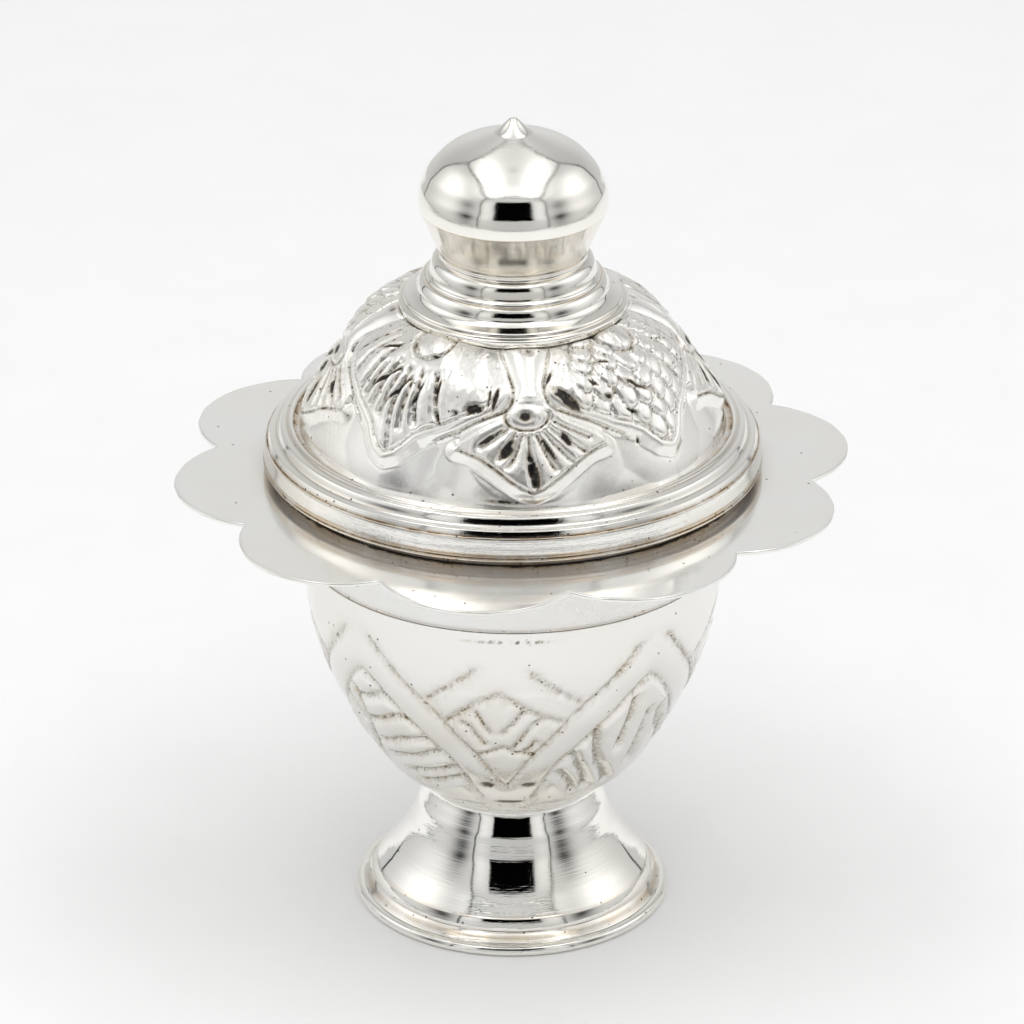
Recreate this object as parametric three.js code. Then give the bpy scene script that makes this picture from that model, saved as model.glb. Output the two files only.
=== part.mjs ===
// Kumkum box: a footed, lidded box of silver-plated sheet metal.
//
// Frame: millimetres, +Z up, origin on the turning axis at the height of the
// surface that the foot stands on. The front of the box faces -Y.
//
// Base: a hollow trumpet foot with a beaded rim, a chased bowl, a plain neck
// band and a flat ten-lobed flange plate, held by one screw through the foot.
// Lid: a repousse dome with four large and four small petals, a stepped rim,
// an inner locating ring, and an onion knob on two turned rings, held by one
// screw from inside. The lid lifts straight off.
import * as THREE from 'three';

// ---------------------------------------------------------------- dimensions
const TOTAL_HEIGHT = 89.0;        // floor to tip of the knob
const FOOT_RADIUS = 16.85;        // outside of the foot's bead
const BEAD_TOP = 1.15;            // height of the bead under the foot shell
const FOOT_TOP = 12.9;            // foot meets the bowl
const BOWL_RADIUS = 22.1;         // widest outside radius of the bowl
const SEAM_Z = 40.8;              // bowl ends and the neck band starts
const PLATE_TOP = 50.0;           // top face of the lobed plate
const PLATE_THICKNESS = 0.45;
const PLATE_LOBES = 10;
const LOBE_RADIUS = 35.8;         // axis to the outermost point of a lobe
const NOTCH_RADIUS = 31.5;        // axis to a notch between two lobes
const NOTCH_ANGLE = 136.68;       // direction of the first notch, degrees from +X
const MOUTH_RADIUS = 21.2;        // opening of the plate and neck
const LIP_Z = 51.0;               // underside of the lid's rim
const LIP_RADIUS = 26.18;         // outside of the lid's rim
const RIM_TOP = 55.0;             // rim moulding ends and the dome starts
const DOME_TOP = 68.4;            // flat on the dome that carries the knob
const COLLAR_RADIUS = 11.94;      // lip of the lower knob ring
const COLLAR_TOP = 71.7;          // lower ring meets the bead ring
const NECK_Z = 74.2;              // bead ring meets the knob
const KNOB_RADIUS = 9.88;         // widest radius of the onion knob
const KNOB_MID = 79.9;            // joint between the knob's two shells
const KNOB_TOP = 87.4;            // the knob's cap ends and the tip starts
const PETAL_ANGLE = 275.8;        // direction of the first small petal, degrees
const PETAL_LARGE = 1.5;          // how far a large petal stands out
const PETAL_SMALL = 1.0;          // how far a small petal stands out
const SCREW_RADIUS = 1.75;        // plain shank of both screws
const HOLE_RADIUS = 2.1;          // clearance holes for the screws

const SEG = 36;                   // facets around the larger turned pieces
const KNOB_SEG = 30;              // facets around the knob pieces
const DOME_SEG = 48;              // facets around the dome, six to a petal

// ------------------------------------------------------------------- helpers
const RAD = Math.PI / 180;
const kumkumBox = new THREE.Group();
const baseGroup = new THREE.Group();
const lidGroup = new THREE.Group();
kumkumBox.add(baseGroup, lidGroup);

const finish = (color, metalness, roughness) =>
  ({ color: new THREE.Color(color[0], color[1], color[2]), metalness, roughness });
const POLISHED = finish([0.86, 0.85, 0.83], 1.0, 0.08);
const SATIN = finish([0.82, 0.80, 0.76], 1.0, 0.3);
const CHASED = finish([0.80, 0.77, 0.72], 1.0, 0.32);
const INSIDE = finish([0.74, 0.71, 0.65], 1.0, 0.35);
const BRASS = finish([0.78, 0.62, 0.36], 1.0, 0.35);

function addPiece(parent, name, geometry, look) {
  const mesh = new THREE.Mesh(geometry, new THREE.MeshStandardMaterial(look));
  mesh.name = name;
  parent.add(mesh);
  return mesh;
}

// A turned piece. The profile is a list of [radius, height] that runs up the
// outside and comes back down the inside. It starts and ends on the axis, or
// closes on itself.
function turned(profile, segments = SEG, closed = true, startAngle = 0) {
  const points = profile.map(([r, z]) => new THREE.Vector2(r, z));
  if (closed) points.push(points[0].clone());
  const geometry = new THREE.LatheGeometry(points, segments, startAngle, Math.PI * 2);
  geometry.rotateX(Math.PI / 2);
  return geometry;
}

// A hexagonal nut with a plain bore, standing on height z.
function hexNut(acrossFlats, bore, thickness, z) {
  const corner = acrossFlats / 2 / Math.cos(30 * RAD);
  const outline = [];
  for (let i = 0; i < 6; i += 1) {
    outline.push(new THREE.Vector2(corner * Math.cos(i * 60 * RAD), corner * Math.sin(i * 60 * RAD)));
  }
  const shape = new THREE.Shape(outline);
  const hole = new THREE.Path();
  hole.absarc(0, 0, bore, 0, Math.PI * 2, true);
  shape.holes.push(hole);
  const geometry = new THREE.ExtrudeGeometry(shape, { depth: thickness, bevelEnabled: false, curveSegments: 8 });
  geometry.translate(0, 0, z);
  return geometry;
}

// A screw with a cheese head, a round drive recess and a plain shank. The head
// stands from headZ up to headZ + headHeight and the shank ends at topZ.
function screw(headRadius, headZ, headHeight, topZ) {
  return turned([
    [0, headZ + 1.0], [1.3, headZ + 1.0], [1.3, headZ], [headRadius - 0.4, headZ],
    [headRadius, headZ + 0.4], [headRadius, headZ + headHeight],
    [SCREW_RADIUS, headZ + headHeight], [SCREW_RADIUS, topZ - 0.4],
    [SCREW_RADIUS - 0.4, topZ], [0, topZ],
  ], 20, false);
}

const washer = (inner, outer, z, thickness) => turned([
  [outer, z], [outer, z + thickness], [inner, z + thickness], [inner, z],
], 24);

// ---------------------------------------------------------------------- foot
// Round bead soldered under the edge of the foot. Its flat underside is what
// the box stands on.
addPiece(baseGroup, 'foot_rim_bead', turned([
  [15.2, 0], [16.6, 0], [FOOT_RADIUS, 0.35], [16.75, 0.8], [16.4, 1.06],
  [16.1, BEAD_TOP], [15.2, BEAD_TOP],
]), POLISHED);

// Hollow spun foot: a trumpet with a sharp edge and three turned steps.
addPiece(baseGroup, 'foot_shell', turned([
  [15.1, BEAD_TOP], [16.1, BEAD_TOP], [15.95, 1.4], [15.05, 2.15], [14.88, 2.72],
  [14.6, 3.32], [14.5, 3.42], [14.08, 3.9], [13.6, 4.46], [13.08, 5.06], [11.95, 6.66],
  [10.96, 8.38], [10.32, 9.98], [9.72, 11.32], [9.1, 12.46], [8.94, FOOT_TOP],
  [HOLE_RADIUS, FOOT_TOP], [HOLE_RADIUS, 12.0],
  [8.3, 12.0], [8.9, 11.0], [9.5, 9.6], [10.15, 8.1], [11.15, 6.3], [12.4, 4.5],
  [13.6, 3.3], [14.4, 2.1],
]), POLISHED);

// -------------------------------------------------------- fixings of the foot
addPiece(baseGroup, 'foot_washer', washer(HOLE_RADIUS, 4.8, 11.4, 0.6), BRASS);
addPiece(baseGroup, 'foot_screw', screw(3.2, 9.4, 2.0, 17.0), BRASS);
addPiece(baseGroup, 'foot_nut', hexNut(7.0, 1.95, 2.5, 13.7), BRASS);

// ---------------------------------------------------------------------- bowl
// Raised bowl with a chased outside. It is open at the top.
addPiece(baseGroup, 'bowl_shell', turned([
  [8.94, FOOT_TOP], [9.02, 13.27], [9.95, 13.86], [11.2, 15.0], [13.8, 17.75], [15.35, 19.9],
  [17.15, 22.7], [18.75, 25.9], [19.95, 28.6], [20.65, 30.7], [21.2, 32.8],
  [21.7, 35.2], [21.98, 37.4], [BOWL_RADIUS, 39.2], [22.05, SEAM_Z],
  [21.35, SEAM_Z], [21.4, 39.1], [21.25, 37.2], [20.95, 35.2], [20.5, 33.0],
  [19.95, 30.9], [19.25, 28.9], [18.1, 26.2], [16.55, 23.1], [14.75, 20.4],
  [13.25, 18.3], [10.8, 15.7], [9.4, 14.2], [8.8, 13.7], [HOLE_RADIUS, 13.7],
  [HOLE_RADIUS, FOOT_TOP],
]), CHASED);

// Plain band that carries the plate and guides the lid's locating ring.
addPiece(baseGroup, 'bowl_neck_band', turned([
  [21.15, SEAM_Z], [21.75, SEAM_Z], [21.75, 48.5], [22.1, 49.2],
  [22.7, PLATE_TOP - PLATE_THICKNESS], [21.15, PLATE_TOP - PLATE_THICKNESS],
]), SATIN);

// Flat flange plate, cut to ten round lobes that meet in sharp notches.
function lobedOutline(lobes, notchRadius, lobeRadius, firstNotch, steps) {
  const half = Math.PI / lobes;
  const halfChord = notchRadius * Math.sin(half);
  const sagitta = lobeRadius - notchRadius * Math.cos(half);
  const arcRadius = (halfChord * halfChord + sagitta * sagitta) / (2 * sagitta);
  const arcCentre = lobeRadius - arcRadius;
  const sweep = Math.asin(halfChord / arcRadius);
  const points = [];
  for (let k = 0; k < lobes; k += 1) {
    const middle = firstNotch * RAD + (2 * k + 1) * half;
    for (let i = 0; i < steps; i += 1) {
      const a = middle - sweep + (2 * sweep * i) / steps;
      points.push(new THREE.Vector2(
        arcCentre * Math.cos(middle) + arcRadius * Math.cos(a),
        arcCentre * Math.sin(middle) + arcRadius * Math.sin(a),
      ));
    }
  }
  return points;
}
const plateShape = new THREE.Shape(
  lobedOutline(PLATE_LOBES, NOTCH_RADIUS, LOBE_RADIUS, NOTCH_ANGLE, 10));
const mouth = new THREE.Path();
mouth.absarc(0, 0, MOUTH_RADIUS, 0, Math.PI * 2, true);
plateShape.holes.push(mouth);
const plateGeometry = new THREE.ExtrudeGeometry(
  plateShape, { depth: PLATE_THICKNESS, bevelEnabled: false, curveSegments: 20 });
plateGeometry.translate(0, 0, PLATE_TOP - PLATE_THICKNESS);
addPiece(baseGroup, 'flower_plate', plateGeometry, SATIN);

// ----------------------------------------------------------------------- lid
// Locating ring: it rests on the plate inside the lid's rim, and its sleeve
// reaches down into the neck.
addPiece(lidGroup, 'lid_locating_ring', turned([
  [20.0, 46.0], [20.7, 46.0], [20.7, PLATE_TOP], [24.9, PLATE_TOP], [24.9, 52.6],
  [24.0, 52.6], [24.0, 50.8], [20.0, 50.8],
]), INSIDE);

// Stepped rim moulding: a plain band with two half-round rings above it.
addPiece(lidGroup, 'lid_rim_moulding', turned([
  [25.0, LIP_Z], [LIP_RADIUS, LIP_Z], [LIP_RADIUS, 51.78], [25.93, 53.2],
  [25.74, 53.44], [25.42, 54.02], [24.68, 54.3], [24.3, 54.98], [23.6, 55.22],
  [23.25, 55.35], [23.0, RIM_TOP],
  [22.1, RIM_TOP], [22.1, 54.4], [23.4, 53.5], [24.0, 52.6], [25.0, 52.6],
]), POLISHED);

// Dome: the outside of the turned shell is pushed out into four large and four
// small petals, pointed towards the rim, that fade out below the knob.
const domeOuter = [
  [22.9, RIM_TOP], [22.55, 56.0], [21.9, 57.0], [21.0, 58.3], [19.9, 59.9],
  [18.8, 61.5], [17.8, 63.0], [16.6, 64.5], [15.1, 65.8], [13.3, 67.0], [11.6, 67.9],
  [10.8, DOME_TOP],
];
const domeInner = [
  [HOLE_RADIUS, DOME_TOP], [HOLE_RADIUS, 67.6], [10.2, 67.6], [12.6, 66.5],
  [14.4, 65.2], [16.0, 63.6], [17.7, 61.3], [20.0, 57.9], [21.4, 56.0], [22.2, RIM_TOP],
];
function petalRelief(angle, r) {
  // angle in degrees, r in millimetres: distance that the shell stands out.
  const t = THREE.MathUtils.clamp((r - 11.6) / (22.55 - 11.6), 0, 1);
  const along = Math.sin(Math.PI * Math.pow(t, 0.9));
  let turn = (((angle - PETAL_ANGLE) % 90) + 90) % 90;
  if (turn > 45) turn = 90 - turn;
  // turn is 0 on a small petal and 45 on a large one.
  const small = Math.max(0, 1 - Math.pow(turn / 19, 2));
  const large = Math.max(0, 1 - Math.pow((45 - turn) / 26, 2));
  return along * (PETAL_SMALL * small + PETAL_LARGE * large);
}
const domeGeometry = turned(
  [...domeOuter, ...domeInner], DOME_SEG, true, (PETAL_ANGLE - 270) * RAD);
const domePositions = domeGeometry.attributes.position;
const pointsPerColumn = domeOuter.length + domeInner.length + 1;
for (let i = 0; i < domePositions.count; i += 1) {
  const row = i % pointsPerColumn;
  if (row > 0 && row < domeOuter.length - 1) {
    const x = domePositions.getX(i);
    const y = domePositions.getY(i);
    const r = Math.hypot(x, y);
    // The same column is written once at the start and once at the end of the turn.
    const column = Math.floor(i / pointsPerColumn) % DOME_SEG;
    const push = petalRelief(PETAL_ANGLE + (column * 360) / DOME_SEG, r);
    const slope = 50 * RAD;
    const out = (r + push * Math.cos(slope)) / r;
    domePositions.setXYZ(i, x * out, y * out, domePositions.getZ(i) + push * Math.sin(slope));
  }
}
domeGeometry.computeVertexNormals();
addPiece(lidGroup, 'lid_dome', domeGeometry, CHASED);

// ------------------------------------------------------------------ the knob
// Lower ring: a thin lip with a cove that rises to a small groove.
addPiece(lidGroup, 'knob_cove_ring', turned([
  [HOLE_RADIUS, DOME_TOP], [11.6, DOME_TOP], [COLLAR_RADIUS, 68.75], [11.9, 69.05],
  [11.5, 69.25], [11.3, 69.6], [10.38, 70.06], [10.02, 70.42], [9.93, 70.72],
  [9.52, 71.5], [9.1, COLLAR_TOP],
  [HOLE_RADIUS, COLLAR_TOP],
], KNOB_SEG), POLISHED);

// Upper ring: a bead that narrows towards the knob.
addPiece(lidGroup, 'knob_bead_ring', turned([
  [HOLE_RADIUS, COLLAR_TOP], [9.1, COLLAR_TOP], [8.98, 71.95], [8.68, 72.32], [8.55, 72.98],
  [8.44, 73.3], [8.1, 73.72], [7.78, 73.95], [7.75, NECK_Z], [HOLE_RADIUS, NECK_Z],
], KNOB_SEG), POLISHED);

// Lower half of the hollow onion knob, with its tapered neck and flat floor.
addPiece(lidGroup, 'knob_lower_cup', turned([
  [HOLE_RADIUS, NECK_Z], [7.7, NECK_Z], [7.75, 74.5], [8.25, 75.7], [8.72, 76.76], [9.14, 77.73],
  [9.5, 78.55], [9.8, 79.25], [KNOB_RADIUS, KNOB_MID],
  [9.15, KNOB_MID], [9.0, 79.2], [8.5, 77.9], [7.7, 76.2], [7.3, 75.3], [7.0, 75.0], [HOLE_RADIUS, 75.0],
], KNOB_SEG), POLISHED);

// Upper half of the knob.
addPiece(lidGroup, 'knob_cap', turned([
  [0, 86.4], [3.3, 86.0], [6.0, 84.95], [7.6, 83.75], [8.75, 82.0], [9.1, 80.8], [9.15, KNOB_MID],
  [KNOB_RADIUS, KNOB_MID], [9.77, 80.97], [9.62, 81.58], [9.26, 82.42], [8.89, 83.22],
  [8.22, 84.09], [7.32, 84.99], [6.3, 85.7], [5.22, 86.26], [3.35, 87.01],
  [2.2, KNOB_TOP], [0, KNOB_TOP],
], KNOB_SEG, false), POLISHED);

// Small solid point on top.
addPiece(lidGroup, 'knob_tip', turned([
  [0, KNOB_TOP], [2.2, KNOB_TOP], [1.6, 87.74], [1.06, 88.22], [0.64, 88.66], [0, TOTAL_HEIGHT],
], 20, false), POLISHED);

// -------------------------------------------------------- fixings of the knob
addPiece(lidGroup, 'knob_washer', washer(HOLE_RADIUS, 4.8, 67.0, 0.6), BRASS);
addPiece(lidGroup, 'knob_screw', screw(3.2, 65.0, 2.0, 78.4), BRASS);
addPiece(lidGroup, 'knob_nut', hexNut(7.0, 1.95, 2.4, 75.0), BRASS);

export default kumkumBox;
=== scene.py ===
"""Looks of a footed, lidded powder box of silver-plated sheet: chased bowl, lobed plate, lid with raised petals.

Metres, +Z up, front of the box towards -Y. Profiles are written in millimetres as (radius, height).
"""
import bpy
import math
import numpy as np
from mathutils import Matrix


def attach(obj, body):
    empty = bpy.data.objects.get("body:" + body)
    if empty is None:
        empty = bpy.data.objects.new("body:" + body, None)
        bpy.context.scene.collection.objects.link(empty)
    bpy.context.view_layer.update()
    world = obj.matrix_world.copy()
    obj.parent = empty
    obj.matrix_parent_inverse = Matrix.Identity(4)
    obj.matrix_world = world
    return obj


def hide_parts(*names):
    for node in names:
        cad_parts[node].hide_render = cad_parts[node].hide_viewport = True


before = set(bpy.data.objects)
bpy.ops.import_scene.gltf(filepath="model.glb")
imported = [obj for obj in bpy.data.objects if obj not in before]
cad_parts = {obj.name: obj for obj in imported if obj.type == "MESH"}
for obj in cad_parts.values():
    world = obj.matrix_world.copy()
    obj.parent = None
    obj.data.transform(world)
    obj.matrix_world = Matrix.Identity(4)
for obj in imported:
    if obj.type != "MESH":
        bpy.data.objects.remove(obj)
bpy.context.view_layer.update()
MM = 0.001
K = math.pi / 180.0


# ---------------------------------------------------------------- curves and lathe meshes

def spline(pts, step):
    """Points every step mm along a smooth curve through pts (straight for two points)."""
    p = np.array(pts, float)
    s = np.concatenate([[0], np.cumsum(np.hypot(*np.diff(p, axis=0).T))])
    n = max(1, int(math.ceil(s[-1] / step)))
    t = np.linspace(0, s[-1], n + 1)
    if len(p) == 2:
        return p[0] + (p[1] - p[0]) * (t / s[-1])[:, None]
    h = np.diff(s)
    m = len(p)
    a = np.zeros((m, m))
    b = np.zeros((m, 2))
    d = np.diff(p, axis=0) / h[:, None]
    for i in range(1, m - 1):
        a[i, i - 1], a[i, i], a[i, i + 1] = h[i - 1], 2 * (h[i - 1] + h[i]), h[i]
        b[i] = 6 * (d[i] - d[i - 1])
    # ends: the curvature keeps its value to the next point, so an end arc stays an arc
    a[0, 0], a[0, 1] = 1, -1
    a[-1, -1], a[-1, -2] = 1, -1
    c = np.linalg.solve(a, b)
    k = np.clip(np.searchsorted(s, t, side="right") - 1, 0, m - 2)
    u, v, w = t - s[k], s[k + 1] - t, h[k]
    return ((c[k] * v[:, None] ** 3 + c[k + 1] * u[:, None] ** 3) / (6 * w)[:, None]
            + (p[k] / w[:, None] - c[k] * w[:, None] / 6) * v[:, None]
            + (p[k + 1] / w[:, None] - c[k + 1] * w[:, None] / 6) * u[:, None])


def chain(segs, step=0.25):
    """Joins segments, each a list of points or (points, step), into one polyline without doubled points."""
    out = []
    for g in segs:
        q, st = (g if isinstance(g, tuple) else (g, step))
        q = spline(q, st)
        if out and np.hypot(*(out[-1][-1] - q[0])) < 1e-6:
            q = q[1:]
        out.append(q)
    loop = np.concatenate(out)
    if np.hypot(*(loop[0] - loop[-1])) < 1e-6:
        loop = loop[:-1]
    return loop


def fillet(p0, p1, p2, r, n=4):
    """Points of a small round at the corner p1 between p0 and p2."""
    p0, p1, p2 = (np.array(p, float) for p in (p0, p1, p2))
    a, b = p0 - p1, p2 - p1
    la, lb = np.hypot(*a), np.hypot(*b)
    r = min(r, la * 0.45, lb * 0.45)
    a, b = p1 + a / la * r, p1 + b / lb * r
    t = np.linspace(0, 1, n + 1)[:, None]
    return (1 - t) ** 2 * a + 2 * t * (1 - t) * p1 + t ** 2 * b


def rounded(pts, r, step=0.3, smooth=()):
    """A closed profile through pts with every corner rounded by r mm, except points in smooth, which keep their place."""
    n = len(pts)
    out = []
    for i in range(n):
        p0, p1, p2 = pts[i - 1], pts[i], pts[(i + 1) % n]
        if i in smooth or p1[0] < 1e-6:
            out.append(np.array([p1], float))
        else:
            out.append(fillet(p0, p1, p2, r))
    q = np.concatenate(out)
    dense = []
    for i in range(len(q)):
        a, b = q[i], q[(i + 1) % len(q)]
        k = max(1, int(np.hypot(*(b - a)) / step))
        dense.append(a + (b - a) * (np.arange(k) / k)[:, None])
    return np.concatenate(dense)


def build(name, verts, quads, tris=(), attrs=None, sharp=None):
    me = bpy.data.meshes.new(name)
    verts = np.asarray(verts, float).reshape(-1, 3)
    quads = np.asarray(quads, int).reshape(-1, 4)
    tris = np.asarray(tris, int).reshape(-1, 3)
    nl = quads.size + tris.size
    me.vertices.add(len(verts))
    me.vertices.foreach_set("co", verts.ravel())
    me.loops.add(nl)
    me.loops.foreach_set("vertex_index", np.concatenate([quads.ravel(), tris.ravel()]).astype(np.int32))
    me.polygons.add(len(quads) + len(tris))
    starts = np.concatenate([np.arange(len(quads)) * 4, len(quads) * 4 + np.arange(len(tris)) * 3])
    me.polygons.foreach_set("loop_start", starts.astype(np.int32))
    me.polygons.foreach_set("use_smooth", np.ones(len(starts), bool))
    me.update(calc_edges=True)
    me.validate()
    for key, val in (attrs or {}).items():
        at = me.attributes.new(key, "FLOAT", "POINT")
        at.data.foreach_set("value", np.asarray(val, np.float32).ravel())
    if sharp:
        me.set_sharp_from_angle(angle=sharp * K)
    ob = bpy.data.objects.new(name, me)
    bpy.context.scene.collection.objects.link(ob)
    return ob


def grid_faces(rows, cols, wrap_rows):
    i = np.arange(rows if wrap_rows else rows - 1)[:, None]
    j = np.arange(cols)[None, :]
    i2, j2 = (i + 1) % rows, (j + 1) % cols
    return np.stack([i * cols + j, i * cols + j2, i2 * cols + j2, i2 * cols + j], -1).reshape(-1, 4)


def lathe(name, loop, cols=256, attr=None, start=0.0):
    """Turns a closed profile (counter-clockwise in radius and height). Rows on the axis become one point."""
    loop = np.asarray(loop, float)
    th = start * K + np.arange(cols) * 2 * math.pi / cols
    on_axis = loop[:, 0] < 1e-6
    if on_axis.any():
        # open profile from axis to axis
        k = np.where(on_axis)[0]
        assert len(k) == 2, name
        first, last = k
        if (last - first) == 1:
            loop = np.concatenate([loop[last:], loop[:last]])
        else:
            loop = loop[first:last + 1] if first == 0 else np.concatenate([loop[last:], loop[:first + 1]])
        body = loop[1:-1]
    else:
        body = loop
    co = np.stack([body[:, :1] * np.cos(th), body[:, :1] * np.sin(th), np.repeat(body[:, 1:], cols, 1)], -1).reshape(-1, 3)
    quads = grid_faces(len(body), cols, not on_axis.any())
    tris = np.zeros((0, 3), int)
    tarnish_and_painted_dark = np.repeat(cavity(body, not on_axis.any())[:, None], cols, 1).ravel() if attr is None else np.repeat(attr(body)[:, None], cols, 1).ravel()
    if on_axis.any():
        j = np.arange(cols)
        a, b = len(co), len(co) + 1
        co = np.concatenate([co, [[0, 0, loop[0][1]], [0, 0, loop[-1][1]]]])
        last = (len(body) - 1) * cols
        tris = np.concatenate([np.stack([np.full(cols, a), (j + 1) % cols, j], 1),
                               np.stack([last + j, last + (j + 1) % cols, np.full(cols, b)], 1)])
        tarnish_and_painted_dark = np.concatenate([tarnish_and_painted_dark, [0, 0]])
    return build(name, co * MM, quads, tris, {"tarnish_and_painted_dark": tarnish_and_painted_dark}, sharp=40)


def cavity(body, closed):
    """How hollow the profile is at each point, 0 to 1: dirt and tarnish stay in the hollows."""
    p = np.asarray(body, float)
    n = len(p)
    nxt, prv = np.roll(p, -1, 0), np.roll(p, 1, 0)
    d1, d2 = p - prv, nxt - p
    cross = d1[:, 0] * d2[:, 1] - d1[:, 1] * d2[:, 0]
    turn = np.arctan2(cross, (d1 * d2).sum(1))
    turn[0] = turn[-1] = 0 if not closed else turn[0]
    s = np.concatenate([[0], np.cumsum(np.hypot(*np.diff(p, axis=0).T))])
    out = np.zeros(n)
    for i in np.where(turn < -0.12)[0]:
        out = np.maximum(out, min(1.0, -turn[i] * 1.3) * np.exp(-((s - s[i]) / 0.22) ** 2))
    return out


# ---------------------------------------------------------------- materials

class Nodes:
    def __init__(self, mat):
        self.t = mat.node_tree
        self.t.nodes.clear()

    def add(self, kind, **props):
        n = self.t.nodes.new(kind)
        for k, v in props.items():
            setattr(n, k, v)
        return n

    def put(self, node, **vals):
        for k, v in vals.items():
            s = node.inputs[k] if not k.startswith("i_") else node.inputs[int(k[2:])]
            if isinstance(v, bpy.types.NodeSocket):
                self.t.links.new(v, s)
            else:
                s.default_value = v
        return node

    def math(self, op, a, b=None, c=None, clamp=False):
        n = self.add("ShaderNodeMath", operation=op, use_clamp=clamp)
        for i, v in enumerate((a, b, c)):
            if v is None:
                continue
            if isinstance(v, bpy.types.NodeSocket):
                self.t.links.new(v, n.inputs[i])
            else:
                n.inputs[i].default_value = v
        return n.outputs[0]

    def ramp(self, v, lo, hi, a=0.0, b=1.0, smooth=True):
        n = self.add("ShaderNodeMapRange", interpolation_type="SMOOTHSTEP" if smooth else "LINEAR")
        self.put(n, **{"Value": v, "From Min": lo, "From Max": hi, "To Min": a, "To Max": b})
        return n.outputs[0]

    def noise(self, vec, scale, detail=2.0, rough=0.5, dist=0.0):
        n = self.add("ShaderNodeTexNoise")
        self.put(n, **{"Vector": vec, "Scale": scale, "Detail": detail, "Roughness": rough, "Distortion": dist})
        return n.outputs["Fac"]

    def scaled(self, vec, xyz):
        n = self.add("ShaderNodeMapping")
        self.put(n, Vector=vec, Scale=xyz)
        return n.outputs[0]

    def mixcol(self, f, a, b):
        n = self.add("ShaderNodeMix", data_type="RGBA")
        for k, v in ((0, f), (6, a), (7, b)):
            if isinstance(v, bpy.types.NodeSocket):
                self.t.links.new(v, n.inputs[k])
            else:
                n.inputs[k].default_value = v if not isinstance(v, tuple) or len(v) == 4 else v + (1.0,)
        return n.outputs[2]

    def bump(self, height, strength, dist, normal=None):
        n = self.add("ShaderNodeBump")
        self.put(n, Height=height, Strength=strength, Distance=dist)
        if normal is not None:
            self.put(n, Normal=normal)
        return n.outputs[0]


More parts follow.
